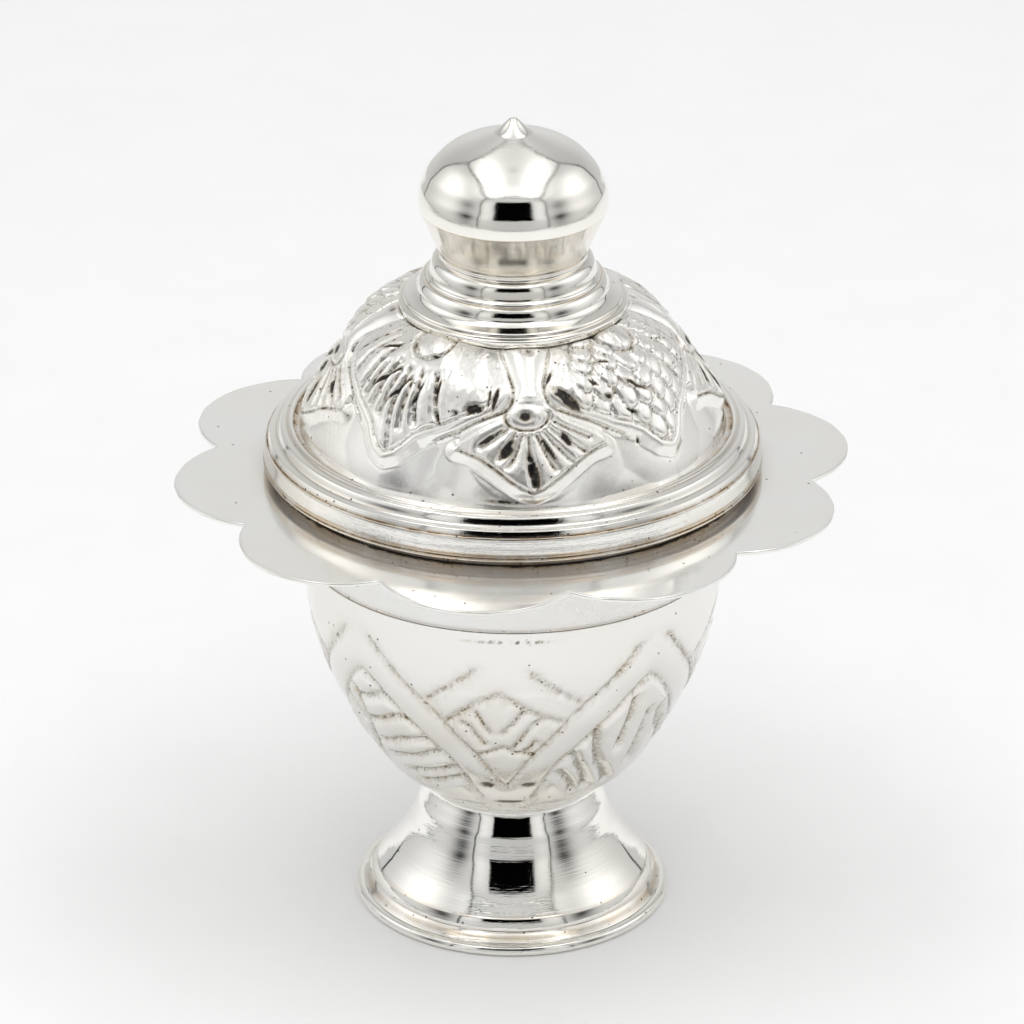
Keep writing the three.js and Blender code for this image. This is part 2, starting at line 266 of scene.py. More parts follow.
def silver(name, base=(0.93, 0.92, 0.90), rough=0.06, rings=0.0, ring_mm=0.12, scratch=0.3, satin=0.0,
           tarnish=(0.33, 0.25, 0.16), tarnish_and_dark_gain=1.0, specks=0.25, hammer=0.0, stipple=0.0, grime=0.15, grain=0.3, metal=1.0):
    """Silver plate: mirror or satin ground, turning lines, fine scratches, and warm tarnish in the hollows; the same
    mask also lays in painted shade and painted dark reflections.
    """
    mat = bpy.data.materials.new(name)
    mat.use_nodes = True
    q = Nodes(mat)
    out = q.add("ShaderNodeOutputMaterial")
    bsdf = q.add("ShaderNodeBsdfPrincipled")
    q.t.links.new(bsdf.outputs[0], out.inputs[0])
    obj = q.add("ShaderNodeTexCoord").outputs["Object"]
    sep = q.add("ShaderNodeSeparateXYZ")
    q.put(sep, Vector=obj)
    x, y, z = sep.outputs
    r = q.math("SQRT", q.math("ADD", q.math("MULTIPLY", x, x), q.math("MULTIPLY", y, y)))
    tarnish_and_painted_dark = q.add("ShaderNodeAttribute", attribute_name="tarnish_and_painted_dark").outputs["Fac"]
    fine = q.noise(obj, 2600.0, 3.0, 0.6)
    mid = q.noise(obj, 420.0, 4.0, 0.6)
    low = q.noise(obj, 70.0, 3.0, 0.55)
    # turning lines: noise of radius and height only, with a slow drift around
    rz = q.add("ShaderNodeCombineXYZ")
    q.put(rz, X=r, Y=z, Z=q.math("MULTIPLY", x, 0.05))
    lines = q.noise(rz.outputs[0], 1.0 / (ring_mm * MM), 3.0, 0.65)
    # scratches: long thin streaks in three directions
    st = None
    for k, ang in enumerate((0.5, 1.9, 2.8)):
        m = q.add("ShaderNodeMapping")
        q.put(m, Vector=obj, Rotation=(0.7 * k, 0.4, ang), Scale=(7000.0, 130.0, 300.0))
        v = q.ramp(q.noise(m.outputs[0], 1.0, 1.0, 0.5), 0.63, 0.72)
        st = v if st is None else q.math("MAXIMUM", st, v)
    st = q.math("MULTIPLY", st, q.ramp(low, 0.42, 0.62))
    # tarnish mask, which also carries painted shade and painted dark reflections, broken up by noise
    broken = q.math("MULTIPLY", tarnish_and_painted_dark, q.ramp(mid, 0.25, 0.65, 0.45, 1.25))
    broken = q.math("ADD", broken, q.math("MULTIPLY", q.ramp(low, 0.5, 0.8), grime * 0.35))
    tm = q.math("MULTIPLY", broken, tarnish_and_dark_gain, clamp=True)
    # dark specks, more of them where tarnish gathers
    vor = q.add("ShaderNodeTexVoronoi", feature="F1")
    q.put(vor, Vector=obj, Scale=2300.0, Randomness=1.0)
    pick = q.add("ShaderNodeSeparateXYZ")
    q.put(pick, Vector=vor.outputs["Color"])
    lim = q.math("ADD", 0.999 - 0.03 * specks, q.math("MULTIPLY", tm, -0.5 * min(1.0, specks * 3)))
    sp = q.math("MULTIPLY", q.ramp(vor.outputs["Distance"], 0.22, 0.36, 1.0, 0.0), q.math("GREATER_THAN", pick.outputs[0], lim), clamp=True)
    tint = q.mixcol(q.ramp(low, 0.35, 0.7), base, (base[0] * 0.985, base[1] * 0.975, base[2] * 0.945))
    warm = q.mixcol(q.ramp(mid, 0.35, 0.7), tarnish, (tarnish[0] * 1.9, tarnish[1] * 1.75, tarnish[2] * 1.5))
    col = q.mixcol(tm, tint, warm)
    # near black where the mask is full: deep tarnish, painted shade and painted dark reflections
    deep = q.math("MAXIMUM", q.math("MULTIPLY", q.ramp(broken, 0.70, 1.0), 0.8), q.math("MULTIPLY", q.ramp(tarnish_and_painted_dark, 0.90, 0.99), 0.985))
    col = q.mixcol(deep, col, (0.03, 0.028, 0.026))
    col = q.mixcol(q.math("MULTIPLY", sp, 0.85), col, (0.10, 0.085, 0.07))
    rg = q.math("ADD", rough, q.math("MULTIPLY", tm, 0.22))
    rg = q.math("ADD", rg, q.math("MULTIPLY", st, 0.10 * scratch))
    rg = q.math("ADD", rg, q.math("MULTIPLY", sp, 0.3))
    rg = q.math("ADD", rg, q.ramp(low, 0.3, 0.75, -0.25 * rough, 0.45 * rough))
    if satin:
        rg = q.math("ADD", rg, q.math("MULTIPLY", q.ramp(mid, 0.3, 0.7), satin * 0.15))
    nrm = q.bump(fine, 0.5 * grain + 0.6 * satin, 0.000012)
    if rings:
        nrm = q.bump(lines, rings, 0.000012, nrm)
    nrm = q.bump(st, 0.25 * scratch, -0.000008, nrm)
    if hammer:
        nrm = q.bump(q.noise(obj, 1100.0, 2.0, 0.5), hammer, 0.00006, nrm)
    if stipple:
        v2 = q.add("ShaderNodeTexVoronoi", feature="F1")
        q.put(v2, Vector=obj, Scale=3600.0, Randomness=0.9)
        dots = q.ramp(v2.outputs["Distance"], 0.15, 0.5)
        nrm = q.bump(q.math("MULTIPLY", dots, tm), stipple, 0.00008, nrm)
    q.put(bsdf, **{"Base Color": col, "Roughness": rg, "Normal": nrm, "Metallic": metal})
    return mat


def brass(name):
    mat = bpy.data.materials.new(name)
    mat.use_nodes = True
    q = Nodes(mat)
    out = q.add("ShaderNodeOutputMaterial")
    bsdf = q.add("ShaderNodeBsdfPrincipled")
    q.t.links.new(bsdf.outputs[0], out.inputs[0])
    obj = q.add("ShaderNodeTexCoord").outputs["Object"]
    sep = q.add("ShaderNodeSeparateXYZ")
    q.put(sep, Vector=obj)
    x, y, z = sep.outputs
    r = q.math("SQRT", q.math("ADD", q.math("MULTIPLY", x, x), q.math("MULTIPLY", y, y)))
    rz = q.add("ShaderNodeCombineXYZ")
    q.put(rz, X=r, Y=z)
    lines = q.noise(rz.outputs[0], 7000.0, 2.0, 0.6)
    low = q.noise(obj, 500.0, 4.0, 0.6)
    col = q.mixcol(q.ramp(low, 0.35, 0.7), (0.80, 0.62, 0.33), (0.55, 0.38, 0.17))
    q.put(bsdf, **{"Base Color": col, "Metallic": 1.0, "Roughness": q.ramp(low, 0.3, 0.7, 0.22, 0.42), "Normal": q.bump(lines, 0.35, 0.00002)})
    return mat


BASE = (0.94, 0.93, 0.89)
M_KNOB = silver("knob_silver", base=BASE, rough=0.055, rings=0.35, ring_mm=0.09, scratch=0.2, tarnish_and_dark_gain=1.0, specks=0.0, grime=0.0, grain=0.5)
M_MIRROR = silver("mirror_silver", base=BASE, rough=0.075, rings=0.8, ring_mm=0.16, scratch=0.3, satin=0.1, tarnish_and_dark_gain=1.0, specks=0.30, grime=0.0, grain=0.7)
M_RIM = silver("rim_silver", base=BASE, rough=0.07, rings=0.8, ring_mm=0.16, scratch=0.3, satin=0.1, tarnish_and_dark_gain=1.0, specks=0.15, grime=0.0, grain=0.7)
M_FOOT = silver("foot_silver", base=BASE, rough=0.05, rings=1.1, ring_mm=0.28, scratch=0.3, tarnish_and_dark_gain=1.0, specks=0.15, grime=0.0, grain=0.2)
M_BOWL = silver("chased_silver", base=(0.855, 0.845, 0.82), rough=0.10, scratch=0.5, satin=0.35, rings=0.9, ring_mm=0.22, tarnish_and_dark_gain=1.0, specks=0.18, stipple=1.0, grime=0.12,
                tarnish=(0.27, 0.24, 0.19), grain=1.0)
M_DOME = silver("embossed_silver", base=(0.96, 0.95, 0.92), rough=0.17, scratch=0.4, satin=0.3, tarnish_and_dark_gain=1.0, specks=0.45, hammer=0.16, grime=0.08, metal=0.75,
                tarnish=(0.22, 0.19, 0.145), grain=1.0)
M_SATIN = silver("satin_silver", base=(0.87, 0.865, 0.845), rough=0.23, scratch=0.0, satin=0.10, tarnish_and_dark_gain=0.9, specks=0.25, grime=0.05, grain=0.06, metal=0.62)
M_PLATE = silver("plate_silver", base=(0.885, 0.88, 0.86), rough=0.125, scratch=0.0, satin=0.14, tarnish_and_dark_gain=0.9, specks=0.22, grime=0.05, grain=0.12, metal=0.80)
M_INNER = silver("inner_silver", base=(0.84, 0.82, 0.77), rough=0.28, rings=0.5, ring_mm=0.25, scratch=0.4, satin=0.6, tarnish_and_dark_gain=1.2, specks=0.5, grime=0.5)
M_BRASS = brass("turned_brass")

PIECES = []


def finish_piece(ob, mat, body, nodes, inner=None):
    ob.data.materials.append(mat)
    if inner is not None:
        ob.data.materials.append(inner[0])
        idx = inner[1](ob)
        ob.data.polygons.foreach_set("material_index", idx.astype(np.int32))
    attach(ob, body)
    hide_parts(*nodes)
    PIECES.append(ob)
    return ob


# ---------------------------------------------------------------- foot

foot_bead = chain([
    ([(15.2, 0.12), (15.25, 0.03), (15.4, 0.0)], 0.08),
    ([(15.4, 0.0), (16.35, 0.0)], 0.4),
    ([(16.35, 0.0), (16.62, 0.09), (16.80, 0.26), (16.86, 0.46), (16.80, 0.72), (16.66, 0.96), (16.44, 1.09), (16.1, 1.13)], 0.06),
    ([(16.1, 1.13), (15.2, 1.13)], 0.3),
    ([(15.2, 1.13), (15.2, 0.12)], 0.3),
])
finish_piece(lathe("foot_edge_bead", foot_bead, 288), M_FOOT, "base", ["foot_rim_bead"])

foot_loop = chain([
    ([(15.1, 1.15), (16.02, 1.15)], 0.3),
    ([(16.02, 1.15), (16.04, 1.22), (15.95, 1.32), (15.7, 1.52), (15.35, 1.80), (15.12, 2.03)], 0.07),
    ([(15.12, 2.03), (15.05, 2.12), (15.02, 2.22)], 0.05),
    ([(15.02, 2.22), (14.98, 2.44), (14.88, 2.74), (14.75, 3.05), (14.62, 3.30)], 0.06),
    ([(14.62, 3.30), (14.57, 3.36), (14.52, 3.40)], 0.04),
    ([(14.52, 3.40), (14.08, 3.90), (13.60, 4.46), (13.08, 5.06), (12.52, 5.80), (11.95, 6.66), (11.42, 7.52), (10.96, 8.38), (10.63, 9.20), (10.32, 9.98), (10.03, 10.75), (9.72, 11.32), (9.38, 11.95), (9.10, 12.46), (8.98, 12.74), (8.94, 12.9)], 0.10),
    ([(8.94, 12.9), (2.1, 12.9)], 0.8),
    ([(2.1, 12.9), (2.1, 12.0)], 0.45),
    ([(2.1, 12.0), (8.3, 12.0)], 0.8),
    ([(8.3, 12.0), (8.9, 11.0), (9.5, 9.6), (10.15, 8.1), (11.15, 6.3), (12.4, 4.5), (13.6, 3.3), (14.4, 2.1), (15.1, 1.15)], 0.4),
])


def split_inner(rmax_of):
    def pick(ob):
        me = ob.data
        n = len(me.polygons)
        c = np.zeros(n * 3); me.polygons.foreach_get("center", c); c = c.reshape(-1, 3) / MM
        nm = np.zeros(n * 3); me.polygons.foreach_get("normal", nm); nm = nm.reshape(-1, 3)
        return rmax_of(np.hypot(c[:, 0], c[:, 1]), c[:, 2], (nm[:, :2] * c[:, :2]).sum(1) / np.maximum(np.hypot(c[:, 0], c[:, 1]), 1e-6), nm[:, 2]).astype(int)
    return pick



def foot_tarn(b):
    r, z = b[:, 0], b[:, 1]
    step = np.exp(-((z - 1.65) / 0.30) ** 2) * (r > 14.9)
    return np.maximum(cavity(b, True), 0.44 * step)


finish_piece(lathe("foot_trumpet", foot_loop, 288, foot_tarn), M_FOOT, "base", ["foot_shell"],
             (M_INNER, split_inner(lambda r, z, nr, nz: (nr < -0.15) | ((nz < -0.5) & (z > 11)))))


# ---------------------------------------------------------------- relief helpers

def smooth(a, b, x):
    t = np.clip((x - a) / (b - a), 0, 1)
    return t * t * (3 - 2 * t)


def line_dist(th, s, r, lines):
    """Distance in mm from each grid point to the nearest of the polylines [(degrees, s), ...]."""
    best = np.full(th.shape, 1e9)
    for pl in lines:
        for a, b in zip(pl[:-1], pl[1:]):
            ax, ay = (th - a[0]) * K * r, s - a[1]
            bx, by = (b[0] - a[0]) * K * r, b[1] - a[1]
            t = np.clip((ax * bx + ay * by) / (bx * bx + by * by + 1e-9), 0, 1)
            np.minimum(best, np.hypot(ax - t * bx, ay - t * by), out=best)
    return best


def fold(th, centre, period):
    return (th - centre + period / 2) % period - period / 2


def hash2(a, b):
    v = np.sin(a * 127.1 + b * 311.7) * 43758.5453
    return v - np.floor(v)


def vnoise(u, v):
    """Value noise, about -1 to 1."""
    i, j = np.floor(u), np.floor(v)
    fu, fv = u - i, v - j
    fu, fv = fu * fu * (3 - 2 * fu), fv * fv * (3 - 2 * fv)
    a = hash2(i, j) * (1 - fu) + hash2(i + 1, j) * fu
    b = hash2(i, j + 1) * (1 - fu) + hash2(i + 1, j + 1) * fu
    return (a * (1 - fv) + b * fv) * 2 - 1


def relief_shell(name, prof, rows, cols, inner, height, start=0.0):
    """A turned shell whose outer face is raised and sunk along its normal by height(th, s, r) in mm."""
    p = spline(prof, 0.05)
    sa = np.concatenate([[0], np.cumsum(np.hypot(*np.diff(p, axis=0).T))])
    s = np.linspace(0, sa[-1], rows)
    pr, pz = np.interp(s, sa, p[:, 0]), np.interp(s, sa, p[:, 1])
    dr, dz = np.gradient(pr, s), np.gradient(pz, s)
    ln = np.hypot(dr, dz)
    nr, nz = dz / ln, -dr / ln
    th = start + np.arange(cols) * 360.0 / cols
    T, S = np.meshgrid(th, s)
    R = np.repeat(pr[:, None], cols, 1)
    h, tarnish_and_painted_dark = height(T, S, R)
    rr = R + nr[:, None] * h
    zz = pz[:, None] + nz[:, None] * h
    a = T * K
    co = np.stack([rr * np.cos(a), rr * np.sin(a), zz], -1).reshape(-1, 3)
    ii = np.asarray(inner, float)
    it = a[:1]
    ci = np.stack([ii[:, :1] * np.cos(it), ii[:, :1] * np.sin(it), np.repeat(ii[:, 1:], cols, 1)], -1).reshape(-1, 3)
    co = np.concatenate([co, ci])
    quads = grid_faces(rows + len(ii), cols, True)
    tr = np.concatenate([tarnish_and_painted_dark.ravel(), np.repeat(cavity(ii, False)[:, None], cols, 1).ravel()])
    return build(name, co * MM, quads, (), {"tarnish_and_painted_dark": tr}, sharp=60), rows


def inner_rows(rows, cols):
    def pick(ob):
        n = len(ob.data.polygons)
        i = np.arange(n) // cols
        return (i >= rows - 1) & (i < n // cols)
    return pick


# ---------------------------------------------------------------- bowl

BOWL = [(8.94, 12.9), (8.95, 13.08), (9.02, 13.27), (9.30, 13.48), (9.95, 13.86), (11.2, 15.0), (13.8, 17.75), (15.35, 19.9), (17.15, 22.7), (18.75, 25.9), (19.95, 28.6),
        (20.65, 30.7), (21.2, 32.8), (21.7, 35.2), (21.98, 37.4), (22.1, 39.2), (22.05, 40.8)]

# one period is 90 degrees, angles from the middle of the V that faces the front
V = 267.5
ZIG_UP = [(-45, 30.6), (-41, 28.9), (-36, 26.6), (-30, 24.2), (-25, 22.5), (-21, 21.0), (-17.5, 19.3), (-14.0, 17.3), (-11.0, 15.8), (-8.5, 14.4), (-6.5, 13.2), (-4.6, 11.7), (-2.0, 10.0), (0, 9.2)]
ZIG_LOW = [(-45, 24.0), (-41, 22.9), (-37, 21.4), (-33, 19.6), (-29, 18.0), (-26, 16.5), (-22.5, 15.0), (-19.5, 13.8), (-17, 12.1), (-15, 10.5), (-14.2, 9.2), (-12.6, 7.2), (-11.6, 6.0)]


def mirror(pl):
    return [(-a, b) for a, b in pl]


V_LINES = [
    [(-22.5, 22.7), (-18.5, 23.9), (-14.5, 25.1), (-10.5, 26.4), (-8.0, 27.2)],
    [(21.5, 22.7), (17.0, 24.0), (13.0, 25.2), (9.5, 26.3), (8.0, 26.9)],
    [(-17.3, 20.0), (-12.5, 21.5), (-8.5, 22.8), (-4.2, 23.8), (-1.0, 24.3), (2.5, 23.3), (7.5, 21.8), (12.5, 20.8), (16.7, 20.1)],
]
V_INNER = [
    [(-8.0, 21.6), (-6.3, 20.2), (-4.3, 18.7)],
    [(5.5, 21.8), (3.0, 20.3), (-0.5, 18.6)],
    [(-12.2, 20.0), (-10.3, 19.5), (-8.3, 18.1), (-6.2, 16.8)],
    [(10.2, 20.6), (7.6, 19.4), (5.0, 17.6), (2.8, 16.2)],
    [(9.5, 17.2), (8.2, 16.2), (6.6, 15.8)],
    [(-8.5, 15.0), (-4.5, 15.6), (-0.5, 16.3), (3.0, 15.6), (8.5, 15.2)],
]
# leaf panel under each peak, angles from the peak: one kind has stacked ribs, the other a fan
RIBS_A = [
    [(7.5, 21.7), (4.0, 21.0), (0.0, 20.1), (-4.5, 19.7)],
    [(13.0, 19.0), (9.0, 18.5), (4.5, 17.6), (0.0, 16.8), (-4.5, 16.2)],
    [(18.0, 16.1), (14.0, 15.5), (8.0, 14.8), (2.0, 13.7), (-4.0, 13.0)],
    [(22.0, 14.5), (17.0, 13.5), (10.5, 12.3), (4.5, 11.6), (0.0, 11.0), (-3.5, 10.6)],
    [(26.0, 12.1), (21.0, 11.1), (16.0, 10.3), (10.0, 9.6), (4.0, 8.7)],
    [(28.5, 10.4), (23.0, 9.5), (18.0, 8.6), (13.0, 7.9), (7.0, 7.2)],
]
RIBS_A2 = [
    [(-12.5, 19.4), (-11.0, 17.5), (-9.5, 15.5)],
    [(-18.5, 16.6), (-16.0, 14.6), (-14.0, 12.9)],
    [(-23.5, 14.0), (-20.5, 12.0), (-17.5, 10.5)],
    [(-28.0, 11.5), (-24.0, 9.8), (-20.5, 8.6)],
    [(-6.3, 20.5), (-6.0, 17.0), (-7.5, 14.0), (-11.0, 11.2), (-14.5, 8.7), (-19.0, 7.0)],
]
RIBS_B = [
    [(-25.5, 11.4), (-22.0, 10.0), (-18.0, 8.2), (-16.0, 7.1)],
    [(-21.5, 14.5), (-19.0, 12.5), (-16.0, 10.8), (-13.0, 9.0), (-11.0, 7.6)],
    [(-15.5, 17.6), (-13.0, 14.2), (-10.0, 11.6), (-6.0, 9.9), (-2.0, 8.3), (1.0, 7.1)],
    [(-3.8, 21.0), (-3.6, 17.5), (-4.0, 14.0)],
    [(4.4, 18.5), (5.0, 15.5), (5.6, 13.0), (7.2, 10.0)],
    [(10.0, 18.2), (12.0, 16.0), (14.6, 13.8)],
    [(16.0, 15.8), (18.0, 13.8), (20.5, 11.8)],
    [(21.5, 13.2), (23.0, 11.4), (25.5, 9.6)],
]


def bowl_height(T, S, R):
    S = S - 0.25
    a = fold(T, V, 90.0)
    peak = fold(T, V + 45.0, 90.0)
    kind = (np.floor((T - V) / 90.0 + 1e-9).astype(int)) % 2  # panel between this V and the next
    mir = np.abs(a)
    up = line_dist(-mir, S, R, [ZIG_UP])
    lo = line_dist(-mir, S, R, [ZIG_LOW])
    vl = line_dist(a, S, R, V_LINES)
    vi = line_dist(a, S, R, V_INNER)
    pa = line_dist(peak, S, R, RIBS_A)
    pa2 = line_dist(peak, S, R, RIBS_A2)
    pb = line_dist(peak, S, R, RIBS_B)
    wob = 0.5 + 0.5 * vnoise(T * 1.1, S * 2.3)
    wob2 = 0.5 + 0.5 * vnoise(T * 2.9 + 7, S * 5.1)
    # where each point lies
    s_up = np.interp(mir, [-p[0] for p in ZIG_UP][::-1], [p[1] for p in ZIG_UP][::-1])
    s_lo = np.interp(mir, [-p[0] for p in ZIG_LOW][::-1], [p[1] for p in ZIG_LOW][::-1], left=-5)
    in_band = (S < s_up) & (S > s_lo)
    under = S < s_lo
    h = np.zeros_like(S)

    def groove(d, w, depth):
        return -depth * np.exp(-(d / w) ** 2)

    # zigzag band: plain, faintly crowned between its two chased edges
    edge = np.minimum(up, lo)
    h += np.where(in_band, 0.10 * smooth(0.2, 1.6, edge), 0)
    fade_top = 1 - smooth(28.2, 30.2, S)
    g = np.minimum(groove(up, 0.31, 0.19) * fade_top, groove(lo, 0.31, 0.19))
    g = np.minimum(g, groove(vl, 0.30, 0.17))
    g = np.minimum(g, groove(vi, 0.28, 0.22))
    pan_a = np.minimum(pa, pa2)
    gp = np.where(kind == 1, groove(pan_a, 0.34, 0.30), groove(pb, 0.40, 0.38))
    gp = np.where(under | (np.abs(peak) < 2), gp, 0) * smooth(0.05, 0.5, lo)
    g = np.minimum(g, gp)
    h += g * (0.8 + 0.35 * wob2)
    # ribs between the grooves swell
    dpan = np.where(kind == 1, pan_a, pb)
    low_fade = smooth(3.2, 5.2, S)
    h += np.where(under, 0.28 * smooth(0.25, 1.3, dpan) * smooth(0.15, 1.0, lo) * low_fade, 0)
    h += np.where((~under) & (~in_band) & (mir < 18) & (S < 24.2), 0.12 * smooth(0.2, 1.0, np.minimum(vi, vl)), 0)
    # stippled strip beside each line
    side = 0.75
    strip = (np.exp(-((up - 0.35) / side) ** 2) * ((S > s_up) | (S < s_up)) * fade_top * (S > s_up - 1.2)
             + np.exp(-((vl - 0.3) / side) ** 2))
    near = np.minimum(np.minimum(up + (1 - fade_top) * 3, lo), vl)
    dash = smooth(0.25, 0.75, wob2)
    lines_t = 0.85 * np.exp(-(near / 0.27) ** 2) * (0.40 + 0.60 * dash) + 0.42 * np.exp(-(near / 0.62) ** 2) * dash * wob
    inner_t = np.exp(-(vi / 0.22) ** 2) * (0.6 + 0.4 * dash) + 0.30 * np.exp(-(vi / 0.5) ** 2) * dash
    pan_t = np.where(under, 0.9 * np.exp(-(dpan / 0.34) ** 2) * (0.5 + 0.5 * dash) + 0.5 * np.exp(-(dpan / 0.72) ** 2) * dash, 0) * low_fade
    tarnish_and_painted_dark = 0.56 * lines_t + 0.66 * inner_t + 0.58 * pan_t + 0.20 * np.clip(strip, 0, 1) * wob
    # darker low on the bowl, towards the stem, and a broken dark line under the seam across the front only: a painted
    # dark reflection
    tarnish_and_painted_dark += 0.30 * (1 - smooth(3.0, 8.0, S)) * smooth(0.8, 2.2, S) * (0.5 + 0.6 * wob)
    far = np.abs(fold(T, V + 2.0, 90.0))
    seam_s = S.max() - 1.0 + 0.16 * vnoise(T * 0.8 + 2, T * 0)
    tarnish_and_painted_dark += 1.05 * np.exp(-((S - seam_s) / 0.11) ** 2) * smooth(-0.25, 0.25, vnoise(T * 1.7 + 3, T * 0 + 8)) * (1 - smooth(5, 16, far))
    h += -0.03 * np.exp(-((S - (S.max() - 1.0)) / 0.20) ** 2)
    # dark patches beside the foot of each V: painted reflections of the dark opening
    for ang, sp in ((-7.3, 9.35), (8.7, 9.5), (1.0, 5.35)):
        wide = 1.35 if sp < 6 else 0.80
        spot = np.exp(-(((a - ang) * K * R / wide) ** 2 + ((S - sp) / (0.30 if sp < 6 else 0.60)) ** 2) ** 1.4)
        tarnish_and_painted_dark = np.minimum(tarnish_and_painted_dark + 1.6 * spot * (0.8 + 0.3 * wob2), 0.96)
    # hand work leaves the ground slightly uneven
    h += 0.030 * vnoise(T * 0.13, S * 0.45) + 0.006 * vnoise(T * 0.5 + 3, S * 1.2)
    ends = smooth(0.0, 0.6, S) * (1 - smooth(S.max() - 0.35, S.max(), S))
    return h * ends, np.clip(tarnish_and_painted_dark, 0, 1)


bowl_inner = chain([
    ([(22.05, 40.8), (21.35, 40.8)], 0.35),
    ([(21.35, 40.8), (21.4, 39.1), (21.25, 37.2), (20.95, 35.2), (20.5, 33.0), (19.95, 30.9), (19.25, 28.9), (18.1, 26.2), (16.55, 23.1), (14.75, 20.4), (13.25, 18.3), (10.8, 15.7), (9.4, 14.2), (8.6, 13.75), (8.0, 13.7)], 0.9),
    ([(8.0, 13.7), (2.1, 13.7)], 1.5),
    ([(2.1, 13.7), (2.1, 12.9)], 0.8),
    ([(2.1, 12.9), (8.7, 12.9)], 1.5),
])[1:]
BR, BC = 128, 680
bowl, rows = relief_shell("bowl_body", BOWL, BR, BC, bowl_inner, bowl_height)
finish_piece(bowl, M_BOWL, "base", ["bowl_shell"], (M_INNER, inner_rows(rows, BC)))


# ---------------------------------------------------------------- neck band and plate

band = chain([
    ([(21.15, 40.82), (21.90, 40.82)], 0.3),
    ([(21.90, 40.82), (21.95, 40.87), (21.94, 41.0)], 0.06),
    ([(21.94, 41.0), (21.84, 41.9), (21.77, 43.0), (21.72, 46.0), (21.78, 47.9), (21.96, 48.8), (22.28, 49.32), (22.7, 49.55)], 0.25),
    ([(22.7, 49.55), (21.15, 49.55)], 0.5),
    ([(21.15, 49.55), (21.15, 40.82)], 1.2),
])
finish_piece(lathe("mouth_band", band, 288), M_SATIN, "base", ["bowl_neck_band"])


def plate(name):
    lobes, per = 10, 72
    cols = lobes * per
    th = 136.68 + np.arange(cols) * 360.0 / cols
    arc_r, arc_c = 11.0303, 24.7697
    d = fold(th, 136.68 + 18.0, 36.0) * K
    edge = arc_c * np.cos(d) + np.sqrt(np.maximum(arc_r ** 2 - (arc_c * np.sin(d)) ** 2, 0))
    # snipped by hand: each lobe is a little fuller or flatter than the next
    k = np.floor((th - 136.68) / 36.0 + 1e-6)
    edge = edge + (hash2(k, k * 0 + 3) - 0.5) * 0.35 * np.cos(d / (18 * K) * math.pi / 2) + 0.05 * vnoise(th * 0.35, th * 0)
    r0 = 21.2
    rows = []

    def ring(rad, z):
        rows.append(np.stack([rad * np.cos(th * K), rad * np.sin(th * K), np.broadcast_to(z, th.shape)], -1))

    top, bot = 50.0, 49.55
    wave = 0.03 * vnoise(th * 0.09 + 5, th * 0 + 2)
    for t in np.linspace(0, 1, 34):
        rad = r0 + (edge - 0.14 - r0) * t
        sag = smooth(27, 35, rad)
        z = top + sag * (-0.06 + wave) + 0.012 * sag * vnoise(rad * 0.8, th * 0.15)
        ring(rad, np.minimum(z, top))
    zt = top - 0.06 + wave
    for a in (22, 45, 68, 90):
        ring(edge - 0.14 + 0.14 * math.sin(a * K), zt - 0.14 + 0.14 * math.cos(a * K))
    zb = bot
    ring(edge, (zt - 0.14 + zb + 0.1) / 2)
    for a in (90, 60, 30, 0):
        ring(edge - 0.10 + 0.10 * math.sin(a * K), zb + 0.10 - 0.10 * math.cos(a * K))
    for t in np.linspace(1, 0, 12)[1:]:
        ring(r0 + (edge - 0.10 - r0) * t, bot)
    rows = rows[::-1]
    co = np.concatenate(rows)
    n = len(rows)
    quads = grid_faces(n, cols, True)[:, ::1]
    rr = np.hypot(co[:, 0], co[:, 1])
    turn = np.degrees(np.arctan2(co[:, 1], co[:, 0]))
    streak = 0.5 + 0.5 * vnoise(turn * 0.9, rr * 0.5)
    on_top = co[:, 2] > 49.8
    # dark ring where the lid sits: painted shadow of the gap under the lid's rim, over some tarnish; outside it a
    # streaked brownish fade, a painted reflection of the rim; on the underside, darker next to the band
    tarnish_and_painted_dark = smooth(24.4, 24.8, rr) * (0.95 * (1 - smooth(25.25, 25.6, rr)) + 0.24 * np.exp(-(np.maximum(rr - 25.6, 0) / 1.0) ** 2) * (0.6 + 0.4 * streak)) * on_top + 0.25 * np.exp(-((rr - 22.4) / 0.5) ** 2) * (co[:, 2] < 49.6)
    return build(name, co * MM, quads, (), {"tarnish_and_painted_dark": tarnish_and_painted_dark}, sharp=50)


finish_piece(plate("lobed_plate"), M_PLATE, "base", ["flower_plate"])


# ---------------------------------------------------------------- lid: ring and rim

loc = rounded([(20.0, 46.0), (20.7, 46.0), (20.7, 50.0), (24.9, 50.0), (24.9, 52.6), (24.0, 52.6), (24.0, 50.8), (20.0, 50.8)], 0.12)
# the ring's outer face, in the gap under the rim, carries painted shade with a copper tint
finish_piece(lathe("lid_seat_ring", loc, 240, lambda b: np.where(b[:, 0] > 24.5, 0.60, cavity(b, True))), M_SATIN, "lid", ["lid_locating_ring"])

